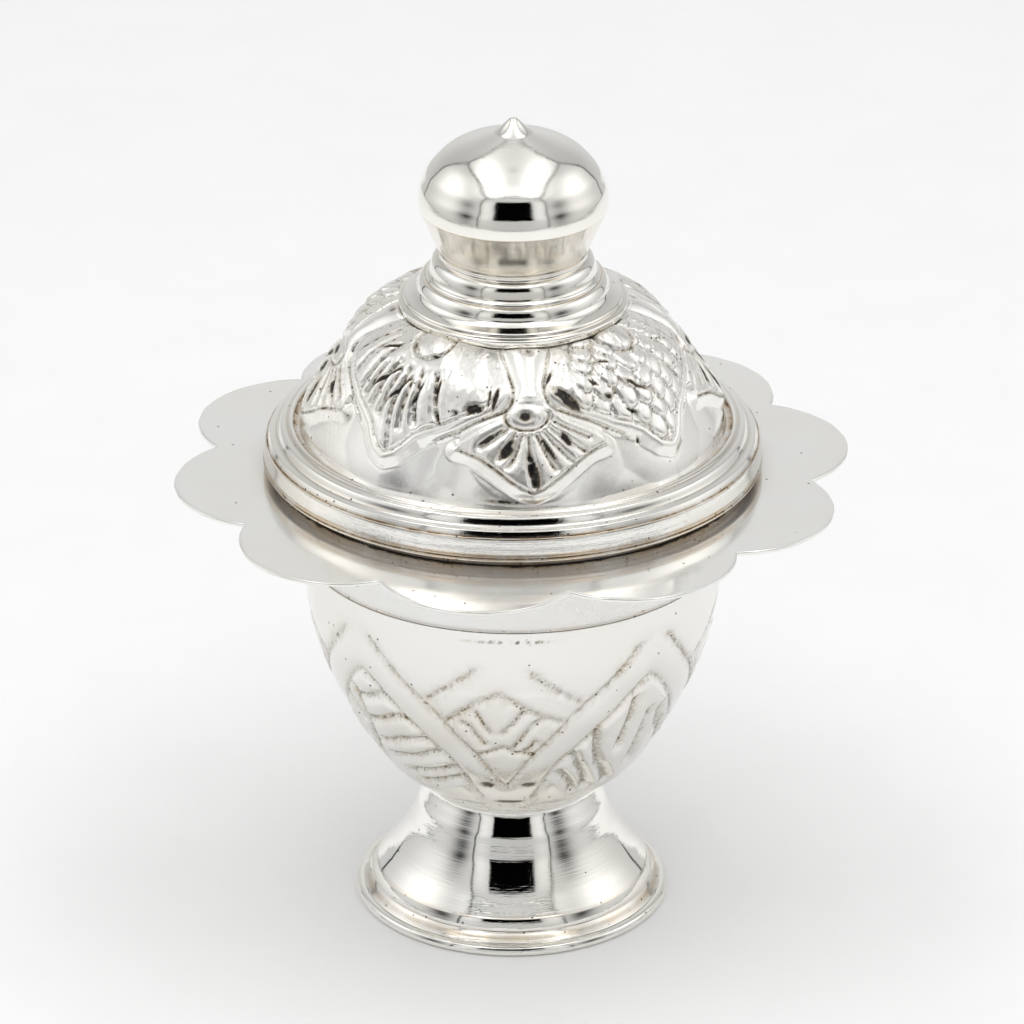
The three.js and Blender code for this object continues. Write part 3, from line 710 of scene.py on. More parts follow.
rim = chain([
    ([(25.0, 50.9), (26.0, 50.9)], 0.35),
    ([(26.0, 50.9), (26.12, 50.94), (26.17, 51.06), (26.19, 51.18)], 0.04),
    ([(26.19, 51.18), (26.17, 51.22), (26.10, 51.25), (26.10, 51.34)], 0.04),
    ([(26.10, 51.34), (26.16, 51.40), (26.18, 51.49), (26.12, 51.58)], 0.04),
    ([(26.12, 51.58), (26.11, 51.63), (26.16, 51.78)], 0.04),
    ([(26.16, 51.78), (26.12, 52.05), (26.05, 52.45), (25.99, 52.85), (25.93, 53.20)], 0.08),
    ([(25.93, 53.20), (25.89, 53.33), (25.83, 53.41), (25.74, 53.44)], 0.04),
    ([(25.74, 53.44), (25.58, 53.74), (25.42, 54.02)], 0.05),
    ([(25.42, 54.02), (25.30, 54.06), (25.05, 54.12), (24.80, 54.21), (24.68, 54.30)], 0.05),
    ([(24.68, 54.30), (24.58, 54.46), (24.46, 54.72), (24.30, 54.98)], 0.05),
    ([(24.30, 54.98), (24.15, 55.05), (23.85, 55.12), (23.60, 55.22)], 0.05),
    ([(23.60, 55.22), (23.44, 55.34), (23.26, 55.40), (23.10, 55.38), (23.02, 55.3)], 0.05),
    ([(23.02, 55.3), (22.98, 55.0), (22.1, 55.0)], 0.4),
    ([(22.1, 55.0), (22.1, 54.4)], 0.4),
    ([(22.1, 54.4), (23.4, 53.5), (24.0, 52.6)], 0.6),
    ([(24.0, 52.6), (25.0, 52.6)], 0.5),
    ([(25.0, 52.6), (25.0, 50.9)], 0.8),
])


def rim_tarnish_and_shade(b):
    r, z = b[:, 0], b[:, 1]
    t = cavity(b, True) * 0.8
    # painted shade under the lip and along its lower edge; the groove higher up keeps tarnish
    t = np.maximum(t, 0.24 * (z < 50.93) * (r > 24.9))
    t = np.maximum(t, 0.75 * np.exp(-((z - 50.96) / 0.07) ** 2) * (r > 25.2))
    t = np.maximum(t, 0.5 * np.exp(-(np.hypot(r - 26.0, z - 51.32) / 0.1) ** 2))
    return t


finish_piece(lathe("lid_rim_rings", rim, 320, rim_tarnish_and_shade), M_RIM, "lid", ["lid_rim_moulding"])


# ---------------------------------------------------------------- lid: dome with petals

DOME = [(22.9, 55.0), (22.6, 56.0), (22.0, 57.2), (21.2, 58.5), (20.1, 60.2), (19.0, 61.9), (18.0, 63.4), (16.8, 64.9), (15.3, 66.2),
        (13.4, 67.4), (11.8, 68.1), (10.8, 68.4)]
BIG0, SMALL0 = 320.8, 275.8
# outline of a large petal: half width in degrees at each s, and its inner field
BIG_W = [(0.0, 1.9), (4.0, 2.7), (7.5, 3.8), (10.3, 5.0), (13.0, 6.0), (16.5, 6.9), (21.0, 7.8), (26.0, 8.8), (31.0, 9.6), (36.4, 10.4), (38.6, 11.2), (39.4, 12.2), (38.8, 13.4), (37.2, 14.8), (35.2, 16.2), (33.0, 17.6), (31.0, 19.0)]
BIG_IN = [(0.0, 4.2), (3.0, 4.7), (5.5, 5.6), (8.0, 6.7), (12.0, 7.6), (17.0, 8.4), (22.0, 9.3), (27.0, 10.1), (32.0, 11.2), (35.6, 12.4), (36.4, 13.4), (35.6, 14.8), (33.8, 16.2), (31.8, 17.6), (29.8, 19.0)]
SMALL_W = [(0.0, 0.5), (6.0, 0.95), (11.0, 1.8), (15.0, 3.0), (19.0, 4.4), (22.0, 5.4), (24.6, 6.6)]
SMALL_IN = [(0.0, 1.9), (3.0, 2.4), (7.0, 3.3), (11.0, 4.4), (15.0, 5.2), (19.0, 5.75), (22.5, 6.1)]
SMALL_UP = [(23.5, 6.6), (19.0, 7.7), (15.0, 8.5), (10.5, 9.4), (7.5, 10.6), (6.0, 12.0), (5.6, 14.5), (5.4, 17.0), (5.2, 19.0)]

FAN = [
    [(-1.0, 13.2), (-1.5, 11.0), (-1.6, 9.0), (-0.8, 7.0), (0.8, 4.8)],
    [(4.6, 13.2), (5.4, 11.2), (6.2, 9.2), (7.6, 7.7)],
    [(-7.0, 13.6), (-8.6, 11.8), (-9.6, 10.0), (-10.6, 8.3)],
    [(11.0, 13.0), (12.6, 11.0), (14.0, 9.4), (15.6, 8.4)],
    [(-13.5, 14.6), (-15.6, 12.9), (-17.6, 11.0), (-19.0, 9.2)],
    [(17.0, 13.6), (19.4, 11.4), (21.6, 9.8)],
    [(-18.5, 15.8), (-22.5, 13.8), (-24.8, 11.8), (-26.0, 10.2)],
    [(21.5, 14.6), (25.5, 12.2), (28.4, 10.8)],
    [(26.0, 15.4), (31.0, 13.4), (33.5, 12.0)],
    [(-24.0, 16.6), (-29.0, 14.4), (-31.5, 12.2)],
    [(2.0, 12.0), (2.3, 9.6), (2.8, 7.0)],
    [(-4.4, 12.6), (-5.4, 10.0), (-5.8, 7.8)],
    [(-12.0, 12.6), (-13.6, 10.6), (-14.8, 9.0)],
    [(30.0, 16.2), (34.5, 14.4), (36.5, 13.2)],
]
# grooves cut deeper, with a row of punched dots along them
FAN_DEEP = [FAN[0], FAN[2], FAN[4], FAN[1], FAN[3]]
SFAN = [
    [(-7.4, 8.6), (-11.5, 7.6), (-15.5, 6.5)],
    [(-5.4, 8.1), (-6.8, 7.0), (-8.4, 5.9), (-9.8, 5.4)],
    [(-3.2, 7.9), (-5.4, 5.6), (-7.4, 4.6)],
    [(-1.2, 7.8), (-1.0, 6.0), (-0.4, 4.2), (0.2, 2.5)],
    [(1.2, 7.9), (3.4, 6.2), (5.2, 4.9), (6.4, 4.2)],
    [(3.6, 8.1), (6.8, 6.8), (9.4, 5.7), (11.2, 4.9)],
    [(5.8, 8.5), (10.4, 7.3), (13.4, 6.4), (15.4, 5.7)],
    [(7.4, 9.1), (13.0, 8.0), (17.5, 7.0)],
]

# small deep hollows, each painted dark as a reflection: degrees from the petal's middle, s, two half sizes in mm, and
# the turn in degrees
HOLLOW_FAN = [(26.6, 10.3, 0.88, 0.56, 15), (33.0, 11.6, 1.15, 0.26, 78), (30.8, 11.5, 1.1, 0.15, 86), (20.7, 9.8, 0.34, 0.28, 0),
              (-9.6, 11.3, 2.4, 0.21, 48), (-16.0, 14.45, 1.4, 0.18, 31), (-2.0, 10.55, 2.2, 0.24, 60), (6.2, 10.95, 1.5, 0.22, 76),
              (13.2, 11.5, 1.2, 0.22, 90), (7.2, 8.9, 1.0, 0.16, -75), (15.0, 8.9, 0.8, 0.16, -60), (7.0, 15.2, 0.8, 0.18, 15)]
HOLLOW_SCALE = [(-32.4, 11.4, 1.85, 0.66, -50), (-21.0, 12.45, 0.7, 0.22, -45), (-13.8, 14.25, 0.8, 0.19, -30), (-17.3, 10.7, 0.5, 0.26, -20),
                (-10.6, 8.7, 0.8, 0.24, -35), (-5.6, 10.9, 1.4, 0.20, -38), (-37.0, 13.9, 0.9, 0.20, 60), (-24.8, 6.85, 0.5, 0.18, 90),
                (-11.0, 5.5, 0.5, 0.18, 90)]
HOLLOW_SMALL = [(-7.5, 6.5, 1.1, 0.66, 60), (-0.1, 4.35, 1.95, 0.58, -77), (10.3, 7.25, 0.9, 0.42, -58), (4.7, 6.4, 1.35, 0.24, -60),
                (-12.8, 7.6, 1.5, 0.24, 38)]


def hollows(du, s, r, table):
    """One where a hollow is, falling to zero at its edge."""
    out = np.zeros(s.shape)
    for c0, s0, a, b, turn in table:
        u, v = (du - c0) * K * r, s - s0
        ct, st = math.cos(turn * K), math.sin(turn * K)
        out = np.maximum(out, np.exp(-(((u * ct + v * st) / a) ** 2 + ((v * ct - u * st) / b) ** 2) ** 2))
    return out


def half_width(tab, s):
    return np.interp(s, [p[1] for p in tab], [p[0] for p in tab], left=-1.0)


def scales(du, s, r):
    """Long overlapping scales in rows around the petal's top. Height 0 to 1, and the distance to the edge."""
    x, y = du * K * r, 18.6 - s
    rho, phi = np.hypot(x, y), np.arctan2(x, y)
    hh = np.zeros(s.shape)
    ed = np.full(s.shape, 9.0)
    best = np.full(s.shape, 1e9)
    step = 1.8
    for k in range(9):
        rc = 3.2 + step * k
        n = max(5, int(round(2.9 * rc / 2.2)))
        for m in range(-n, n + 1):
            j1, j2 = hash2(k * 1.3 + 0.1, m * 2.7) - 0.5, hash2(k * 3.1, m * 1.9 + 4) - 0.5
            pc = (m + (0.5 if k % 2 else 0.0) + 0.22 * j1) * (2.2 / rc)
            if abs(pc) > 1.75:
                continue
            cc = rc + 0.25 * j2
            # turn a little towards the petal's axis
            dt = (phi - pc) * rho
            dr = rho - cc
            u = dt + 0.30 * dr * np.sign(pc)
            d = np.hypot(u / 1.16, dr / (1.55 + 0.2 * j1))
            t = np.clip((dr + 1.5) / 3.0, 0, 1)
            inside = (d < 1) & (cc < best)
            hh = np.where(inside, (0.25 + 0.75 * t) * np.sqrt(np.clip(1.0 - d ** 3, 0, 1)), hh)
            ed = np.where(inside, 1 - d, ed)
            best = np.where(inside, cc, best)
    return hh, ed


def dome_height(T, S, R):
    # chased by hand: nothing runs quite true
    T0, S0 = T, S
    T = T + 0.30 * vnoise(T0 * 0.10 + 3, S0 * 0.35) + 0.10 * vnoise(T0 * 0.35 + 11, S0 * 0.9)
    S = S + 0.09 * vnoise(T0 * 0.11 + 17, S0 * 0.4 + 5) + 0.03 * vnoise(T0 * 0.4 + 1, S0 * 1.0 + 9)
    b = fold(T, BIG0, 90.0)
    c = fold(T, SMALL0, 90.0)
    ab, ac = np.abs(b), np.abs(c)
    kind = (np.floor((T - BIG0 + 45.0) / 90.0).astype(int)) % 2  # 0: scales, 1: fan
    bw, bi = half_width(BIG_W, S), half_width(BIG_IN, S)
    in_big = ab < bw
    in_bfield = ab < bi
    d_out = line_dist(ab, S, R, [BIG_W])
    d_in = line_dist(ab, S, R, [BIG_IN])
    lo_edge = np.interp(ac, [p[0] for p in SMALL_W], [p[1] for p in SMALL_W], right=99)
    in_small = (~in_big) & (S > lo_edge)
    lo_in = np.interp(ac, [p[0] for p in SMALL_IN], [p[1] for p in SMALL_IN], right=99)
    up_in = np.interp(ac, [p[0] for p in SMALL_UP][::-1], [p[1] for p in SMALL_UP][::-1], right=0)
    in_sfield = in_small & (S > lo_in) & (S < up_in) & (S < 11.5)
    d_slow = line_dist(ac, S, R, [SMALL_W])
    d_sin = line_dist(ac, S, R, [SMALL_IN])
    d_sup = line_dist(ac, S, R, [SMALL_UP])
    wob = 0.5 + 0.5 * vnoise(T * 1.3, S * 2.1)
    wob2 = 0.5 + 0.5 * vnoise(T * 3.1 + 9, S * 4.3)

    # ground between the petals, with a soft crease where it meets
    db = np.minimum(d_out, d_slow)
    ground = -0.60 - 0.10 * np.minimum(np.where(in_big, 0, db), 3.0)

    # large petals swell from their border to the middle
    crown = 0.60 * smooth(0.4, 6.5, d_out) + 0.16
    fan_d = line_dist(b, S, R, FAN)
    fan_d = fan_d + 2.0 * smooth(15.0, 17.5, b)  # the broad lobe beside the stem is plain
    deep_d = line_dist(b, S, R, FAN_DEEP) + 2.0 * smooth(15.0, 17.5, b)
    t = np.clip(fan_d / 1.0, 0, 1)
    rib = np.sqrt(1 - (1 - t) ** 2)
    wide = smooth(7, 11, b)  # to the right of the middle the ribs are broad and full
    dots = 0.5 + 0.5 * np.cos(S * 5.4 + 0.7 * np.sin(T * 0.5))
    fan_h = -0.44 - 0.12 * wide + (0.52 + 0.22 * wide) * rib + crown - 0.16 * np.exp(-(deep_d / 0.20) ** 2) * dots
    sc_h, sc_e = scales(b, S, R)
    sca_h = -0.46 + 0.66 * sc_h + crown
    field = np.where(kind == 1, fan_h, sca_h)
    flat_side = smooth(24, 30, ab) * smooth(10.5, 12.5, S)  # beside the stem the petal is plain
    field = field * (1 - 0.85 * flat_side) + (crown - 0.06) * 0.85 * flat_side
    step = smooth(0.0, 0.45, d_in)
    moat = 0.22 * np.exp(-(d_in / 0.18) ** 2) * (1 - smooth(10.6, 12.0, S))
    strip = 0.10 + 0.05 * np.cos(np.clip(d_in / 0.7, 0, 1) * math.pi) - 0.62 * np.maximum(d_in - 0.62, 0) - 0.4 * moat
    big = np.where(in_bfield, 0.10 * (1 - step) + field * step - moat, strip)
    h = np.where(in_bfield, big, np.maximum(ground, big))

    # boss half under the collar on the large petals
    boss = np.hypot((b - 1.5) * K * R, (S - 16.6))
    lens = 0.50 * np.sqrt(np.clip(1 - (boss / 2.0) ** 2, 0, 1))
    ringed = -0.34 * np.exp(-((boss - 2.12) / 0.20) ** 2)
    h = np.where(in_big & (boss < 2.0), 0.42 + lens + ringed, h + np.where(in_big, ringed, 0))

    # small petals: stem, boss, fan of ribs, plain border below
    sf = line_dist(c, S, R, SFAN)
    ts = np.clip(sf / 0.85, 0, 1)
    srib = np.sqrt(1 - (1 - ts) ** 2)
    sfield = -0.44 + 0.52 * srib + 0.16 * smooth(0.2, 3.0, d_slow)
    sstep = smooth(0.0, 0.30, np.minimum(d_sin, d_sup))
    moat2 = 0.16 * np.exp(-(d_sin / 0.16) ** 2)
    below = S < lo_in
    small = np.where(in_sfield, 0.04 * (1 - sstep) + sfield * sstep - moat2, np.where(below, 0.05 - 0.54 * d_sin, 0.08 - 0.10 * d_sup))
    stem_t = smooth(10.4, 11.8, S)
    stem_w = np.interp(S, [10.0, 10.6, 11.5, 12.3, 13.0, 15.0, 16.5, 17.7], [7.4, 7.2, 6.2, 5.0, 4.6, 6.3, 7.8, 9.4])
    stem = 0.42 * np.clip(1 - (ac / stem_w) ** 2, -1.5, 1) + 0.16 * smooth(14.0, 17.5, S)
    below = below & (S < 8.0)
    small = small * (1 - stem_t) + stem * stem_t
    sb = np.hypot((c + 1.4) * K * R / 2.1, (S - 9.8) / 1.35)
    small = np.where(sb < 1.0, np.maximum(small, 0.10 + 0.34 * np.sqrt(np.clip(1 - (sb / 1.02) ** 2, 0, 1))), small)
    ring2 = np.exp(-((sb - 1.08) / 0.10) ** 2) * (S < 10.2)
    pitd = np.hypot((c + 2.1) * K * R / 0.78, (S - 9.75) / 0.58)
    small = small - 0.26 * ring2 - 0.14 * np.exp(-pitd ** 4)
    # upper edge: a narrow plain ridge between the ribs and the large petals
    h = np.where(in_bfield, h, np.where(in_small & ~below, np.maximum(small, ground), np.maximum(h, np.where(in_big, -9, small))))
    vee = np.exp(-(d_out / 0.17) ** 2) * np.where(in_small | (in_big & (S > 6.2)), 1.0, 0.0) * smooth(5.8, 7.0, S)
    high = smooth(13.6, 15.4, S)
    h = h - (0.36 - 0.28 * high) * vee
    # pit on the stem, near the collar
    pit = np.hypot((c - 1.8) * K * R, S - 17.0)
    h = h - (0.16 * np.exp(-(pit / 0.6) ** 2)) * (ac < 10)

    # deep hollows, dented and painted dark as a reflection
    hollows_painted_dark = np.where(in_big, np.where(kind == 1, hollows(b, S, R, HOLLOW_FAN), hollows(b, S, R, HOLLOW_SCALE)), 0)
    hollows_painted_dark = np.maximum(hollows_painted_dark, np.where(in_small, hollows(c, S, R, HOLLOW_SMALL), 0))
    hollows_painted_dark = hollows_painted_dark * (1.0 + 0.45 * vnoise(T0 * 0.9 + 5, S0 * 3.6))
    h = h - 0.13 * np.minimum(hollows_painted_dark, 1.0)

    # meets the rim below and the collar above
    h = -0.50 + (h + 0.50) * smooth(0.0, 1.1, S0 + 0.35)
    top = smooth(17.3, 17.9, S0)
    h = h * (1 - top) + (-0.04) * top
    # hammer marks and unevenness of the thin sheet
    busy = np.where(in_bfield | in_sfield, 1.0, 0.0)
    h = h + busy * (0.020 * vnoise(T0 * 0.45, S0 * 1.1) + 0.014 * vnoise(T0 * 1.1 + 3, S0 * 2.3) + 0.006 * vnoise(T0 * 2.3 + 3, S0 * 4.9)) + 0.05 * vnoise(T0 * 0.06 + 8, S0 * 0.2) + 0.010 * vnoise(T0 * 0.22 + 2, S0 * 0.6)

    t = (0.85 - 0.55 * high) * vee ** 1.6 * (0.45 + 0.75 * wob2)
    # dark in the fan's grooves and in the gaps between scales: tarnish with painted shade of the deep gaps
    t = np.maximum(t, 0.95 * np.where(in_bfield & (kind == 1), np.exp(-(fan_d / 0.16) ** 2) * (0.40 + 0.90 * dots) * (0.3 + 0.7 * smooth(6.5, 10.5, S)), 0))
    t = np.maximum(t, 0.75 * np.where(in_bfield & (kind == 0), np.clip(1 - sc_e / 0.13, 0, 1) + (sc_e > 8) * 0.5, 0))
    t = np.maximum(t, 0.85 * np.where(in_sfield, np.exp(-(sf / 0.14) ** 2), 0))
    t = np.maximum(t, 0.95 * np.where(in_small | in_sfield, np.exp(-(np.minimum(d_sin, 9) / 0.15) ** 2), 0))
    t = np.maximum(t, 0.3 * np.exp(-(d_in / 0.18) ** 2) * in_big * (1 - smooth(10.6, 12.0, S)))
    t = np.maximum(t, 0.8 * np.exp(-((boss - 2.12) / 0.18) ** 2) * in_big)
    t = np.maximum(t, 0.9 * ring2 * in_small)
    t = np.maximum(t, 0.9 * np.exp(-(pit / 0.4) ** 2) * (ac < 10))
    t = t * (0.45 + 0.8 * wob) + 0.14 * np.where(in_bfield | in_sfield, wob2, 0) + 0.14 * smooth(14.5, 17.5, S) * wob
    # painted dark reflection over the hollows
    t = np.maximum(t, 1.5 * hollows_painted_dark)
    t = np.maximum(t, 1.15 * np.exp(-pitd ** 4) * in_small)
    # a painted dark reflection low on the small petal, near the rim
    low_dark_reflection = hollows(c, S0, R, [(-7.0, 1.0, 2.3, 0.30, -3)])
    t = np.maximum(t, 1.15 * low_dark_reflection * (0.65 + 0.5 * wob2))
    t = t + 0.3 * np.exp(-((S0 - 0.1) / 0.25) ** 2)
    return h, np.clip(t, 0, 1)


dome_inner = chain([
    ([(10.8, 68.4), (2.1, 68.4)], 1.4),
    ([(2.1, 68.4), (2.1, 67.6)], 0.8),
    ([(2.1, 67.6), (10.2, 67.6)], 1.4),
    ([(10.2, 67.6), (12.6, 66.5), (14.4, 65.2), (16.0, 63.6), (17.7, 61.3), (20.0, 57.9), (21.4, 56.0), (22.2, 55.0)], 0.6),
])[1:]
DR, DC = 124, 720
dome, rows = relief_shell("petal_dome", DOME, DR, DC, dome_inner, dome_height, start=BIG0)
finish_piece(dome, M_DOME, "lid", ["lid_dome"], (M_INNER, inner_rows(rows, DC)))


# ---------------------------------------------------------------- knob and its rings

cove = chain([
    ([(2.1, 68.4), (11.2, 68.4)], 1.5),
    ([(11.2, 68.4), (11.40, 68.30), (11.62, 68.24), (11.80, 68.30), (11.90, 68.52), (11.94, 68.88)], 0.05),
    ([(11.94, 68.88), (11.90, 69.04), (11.78, 69.14), (11.62, 69.20)], 0.05),
    ([(11.62, 69.20), (11.50, 69.25), (11.42, 69.34), (11.38, 69.46)], 0.05),
    ([(11.38, 69.46), (11.30, 69.60), (11.14, 69.70)], 0.05),
    ([(11.14, 69.70), (10.75, 69.86), (10.38, 70.06), (10.12, 70.30)], 0.06),
    ([(10.12, 70.30), (10.02, 70.42), (9.96, 70.58)], 0.05),
    ([(9.96, 70.58), (9.93, 70.72), (9.84, 70.98), (9.70, 71.26), (9.52, 71.50)], 0.05),
    ([(9.52, 71.50), (9.40, 71.57), (9.25, 71.59)], 0.05),
    ([(9.25, 71.59), (9.12, 71.62), (9.08, 71.7)], 0.05),
    ([(9.08, 71.7), (2.1, 71.7)], 1.5),
    ([(2.1, 71.7), (2.1, 68.4)], 1.2),
])

finish_piece(lathe("knob_cove", cove, 256), M_KNOB, "lid", ["knob_cove_ring"])

bead = chain([
    ([(2.1, 71.7), (9.10, 71.7)], 1.5),
    ([(9.10, 71.7), (9.08, 71.80), (8.98, 71.95)], 0.05),
    ([(8.98, 71.95), (8.80, 72.10), (8.68, 72.32)], 0.05),
    ([(8.68, 72.32), (8.62, 72.62), (8.55, 72.98), (8.44, 73.30), (8.28, 73.56), (8.10, 73.72), (7.90, 73.84)], 0.06),
    ([(7.90, 73.84), (7.78, 73.92), (7.73, 74.04), (7.71, 74.2)], 0.04),
    ([(7.71, 74.2), (2.1, 74.2)], 1.5),
    ([(2.1, 74.2), (2.1, 71.7)], 1.2),
])
finish_piece(lathe("knob_bead", bead, 256), M_KNOB, "lid", ["knob_bead_ring"])


cup = chain([
    ([(2.1, 74.2), (7.70, 74.2)], 1.5),
    ([(7.70, 74.2), (7.68, 74.34), (7.72, 74.48)], 0.05),
    ([(7.72, 74.48), (8.25, 75.70), (8.72, 76.76), (9.14, 77.73), (9.50, 78.55), (9.74, 79.12)], 0.15),
    ([(9.74, 79.12), (9.79, 79.22), (9.83, 79.32)], 0.04),
    ([(9.83, 79.32), (9.86, 79.5), (9.88, 79.7), (9.88, 79.9)], 0.08),
    ([(9.88, 79.9), (9.15, 79.9)], 0.4),
    ([(9.15, 79.9), (9.0, 79.2), (8.5, 77.9), (7.7, 76.2), (7.3, 75.3), (7.0, 75.0)], 0.4),
    ([(7.0, 75.0), (2.1, 75.0)], 1.5),
    ([(2.1, 75.0), (2.1, 74.2)], 0.8),
])


# darker over the knob's outer cone, most at its foot by the bead and just under the cap
def cup_darkening(b):
    r, z = b[:, 0], b[:, 1]
    out = (np.abs(r - (9.83 - (79.33 - z) * 0.425)) < 0.25) & (z > 74.25)
    return np.where(out & (z < 79.35), 0.17 + 0.15 * np.exp(-((z - 74.5) / 0.3) ** 2) + 0.16 * np.exp(-((z - 79.2) / 0.12) ** 2), 0.0)


finish_piece(lathe("knob_lower", cup, 256, cup_darkening), M_KNOB, "lid", ["knob_lower_cup"])

cap = chain([
    ([(9.88, 79.9), (9.86, 80.4), (9.77, 80.97), (9.624, 81.58), (9.44, 82.02), (9.26, 82.42), (8.893, 83.22), (8.56, 83.69), (8.22, 84.09), (7.32, 84.99),
      (6.30, 85.70), (5.22, 86.26), (4.22, 86.68), (3.35, 87.01), (2.72, 87.23), (2.2, 87.41)], 0.09),
    ([(2.2, 87.41), (0.0, 87.41)], 0.5),
    ([(0.0, 86.0), (3.3, 85.7), (6.0, 84.65), (7.6, 83.4), (8.75, 81.8), (9.1, 80.7), (9.15, 79.9)], 0.5),
    ([(9.15, 79.9), (9.88, 79.9)], 0.4),
])
finish_piece(lathe("knob_upper", cap, 256), M_KNOB, "lid", ["knob_cap"])

tip = chain([
    ([(0.0, 87.41), (2.2, 87.41)], 0.4),
    ([(2.2, 87.41), (1.90, 87.54), (1.60, 87.74), (1.32, 87.97), (1.06, 88.22), (0.84, 88.45), (0.64, 88.66), (0.46, 88.83), (0.28, 88.94), (0.12, 88.99), (0.0, 89.0)], 0.05),
])
finish_piece(lathe("knob_point", tip, 128), M_KNOB, "lid", ["knob_tip"])


for n in ("foot_washer", "foot_screw", "foot_nut", "knob_washer", "knob_screw", "knob_nut"):
    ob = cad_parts[n]
    ob.data.materials.clear()
    ob.data.materials.append(M_BRASS)


# ---------------------------------------------------------------- floor, tent, camera

def flat_material(name, colour, strength=None):
    mat = bpy.data.materials.new(name)
    mat.use_nodes = True
    q = Nodes(mat)
    out = q.add("ShaderNodeOutputMaterial")
    if strength is None:
        b = q.add("ShaderNodeBsdfPrincipled")
        obj = q.add("ShaderNodeTexCoord").outputs["Object"]
        f = q.ramp(q.noise(obj, 60.0, 4.0, 0.6), 0.3, 0.7)
        q.put(b, **{"Base Color": q.mixcol(f, colour, tuple(c * 0.985 for c in colour)), "Roughness": 0.75, "Specular IOR Level": 0.15})
        q.t.links.new(b.outputs[0], out.inputs[0])
    else:
        e = q.add("ShaderNodeEmission")
        q.put(e, Color=colour + (1.0,), Strength=strength)
        q.t.links.new(e.outputs[0], out.inputs[0])
    return mat


def card(name, corners, mat, shows=False):
    me = bpy.data.meshes.new(name)
    me.from_pydata([tuple(c) for c in corners], [], [(0, 1, 2, 3)])
    me.materials.append(mat)
    ob = bpy.data.objects.new(name, me)
    bpy.context.scene.collection.objects.link(ob)
    if not shows:
        ob.visible_camera = False
        ob.visible_shadow = True
    return ob


M_FLOOR = flat_material("pale_floor", (0.93, 0.93, 0.93))
card("floor", [(-6, -6, 0), (6, -6, 0), (6, 6, 0), (-6, 6, 0)], M_FLOOR, shows=True)

def glow(name, base, blobs, colour=(1.0, 1.0, 1.0)):
    """Light fabric of the tent: an even glow plus soft brighter and darker patches (centre, size, strength)."""
    mat = bpy.data.materials.new(name)
    mat.use_nodes = True
    q = Nodes(mat)
    out = q.add("ShaderNodeOutputMaterial")
    e = q.add("ShaderNodeEmission")
    pos = q.add("ShaderNodeTexCoord").outputs["Object"]
    total = base
    for c, sz, amp in blobs:
        a = q.add("ShaderNodeVectorMath", operation="SUBTRACT")
        q.t.links.new(pos, a.inputs[0])
        a.inputs[1].default_value = c
        b = q.add("ShaderNodeVectorMath", operation="DIVIDE")
        q.t.links.new(a.outputs[0], b.inputs[0])
        b.inputs[1].default_value = sz
        d = q.add("ShaderNodeVectorMath", operation="DOT_PRODUCT")
        q.t.links.new(b.outputs[0], d.inputs[0])
        q.t.links.new(b.outputs[0], d.inputs[1])
        g = q.math("MULTIPLY", q.math("EXPONENT", q.math("MULTIPLY", d.outputs["Value"], -1.0)), amp)
        total = q.math("ADD", g, total)
    q.put(e, Color=colour + (1.0,), Strength=q.math("MAXIMUM", total, 0.03))
    q.t.links.new(e.outputs[0], out.inputs[0])
    return mat


X0, YF, YB, ZT = 0.43, -0.47, 0.41, 0.72
BIG = 9.0
SIDE = glow("tent_side", 0.62, [((0, 0.05, 0.33), (BIG, 0.21, 0.18), 0.75), ((0, -0.27, 0.155), (BIG, 0.12, 0.12), -0.60), ((0, -0.22, 0.66), (BIG, 0.22, 0.16), 0.35)])
BACK = glow("tent_back", 0.50, [((0, 0, 0.24), (0.18, BIG, 0.20), 0.22), ((0, 0, 0.05), (BIG, BIG, 0.16), 0.10), ((0, 0, 0.72), (0.22, BIG, 0.24), 0.30)])
FRONT = glow("tent_front", 0.55, [((0, 0, 0.60), (0.30, BIG, 0.11), 0.12), ((0.32, 0, 0.30), (0.11, BIG, 0.20), 0.32), ((-0.32, 0, 0.30), (0.11, BIG, 0.20), 0.32)])
TOP = glow("tent_top", 0.72, [((0.245, -0.10, 0), (0.11, 0.33, BIG), 1.9), ((-0.245, -0.10, 0), (0.11, 0.33, BIG), 1.9), ((0, -0.1, 0), (0.2, 0.4, BIG), 0.13), ((0, 0.07, 0), (0.045, 0.045, BIG), -0.20), ((0, -0.37, 0), (0.24, 0.11, BIG), 0.30)])
DARK = flat_material("tent_opening", (0.02, 0.02, 0.02), 0.02)
SEAM = flat_material("tent_seam", (0.05, 0.05, 0.05), 0.3)

card("tent_left", [(-X0, YF, 0), (-X0, YB, 0), (-X0, YB, ZT), (-X0, YF, ZT)], SIDE)
card("tent_right", [(X0, YF, 0), (X0, YB, 0), (X0, YB, ZT), (X0, YF, ZT)], SIDE)
card("tent_rear", [(-X0, YB, 0), (X0, YB, 0), (X0, YB, ZT), (-X0, YB, ZT)], BACK)
card("tent_front", [(-X0, YF, 0), (X0, YF, 0), (X0, YF, ZT), (-X0, YF, ZT)], FRONT)
card("tent_top", [(-X0, YF, ZT), (X0, YF, ZT), (X0, YB, ZT), (-X0, YB, ZT)], TOP)
card("tent_opening_card", [(-0.21, YF + 0.004, 0.165), (0.21, YF + 0.004, 0.165), (0.21, YF + 0.004, 0.46), (-0.21, YF + 0.004, 0.46)], DARK)


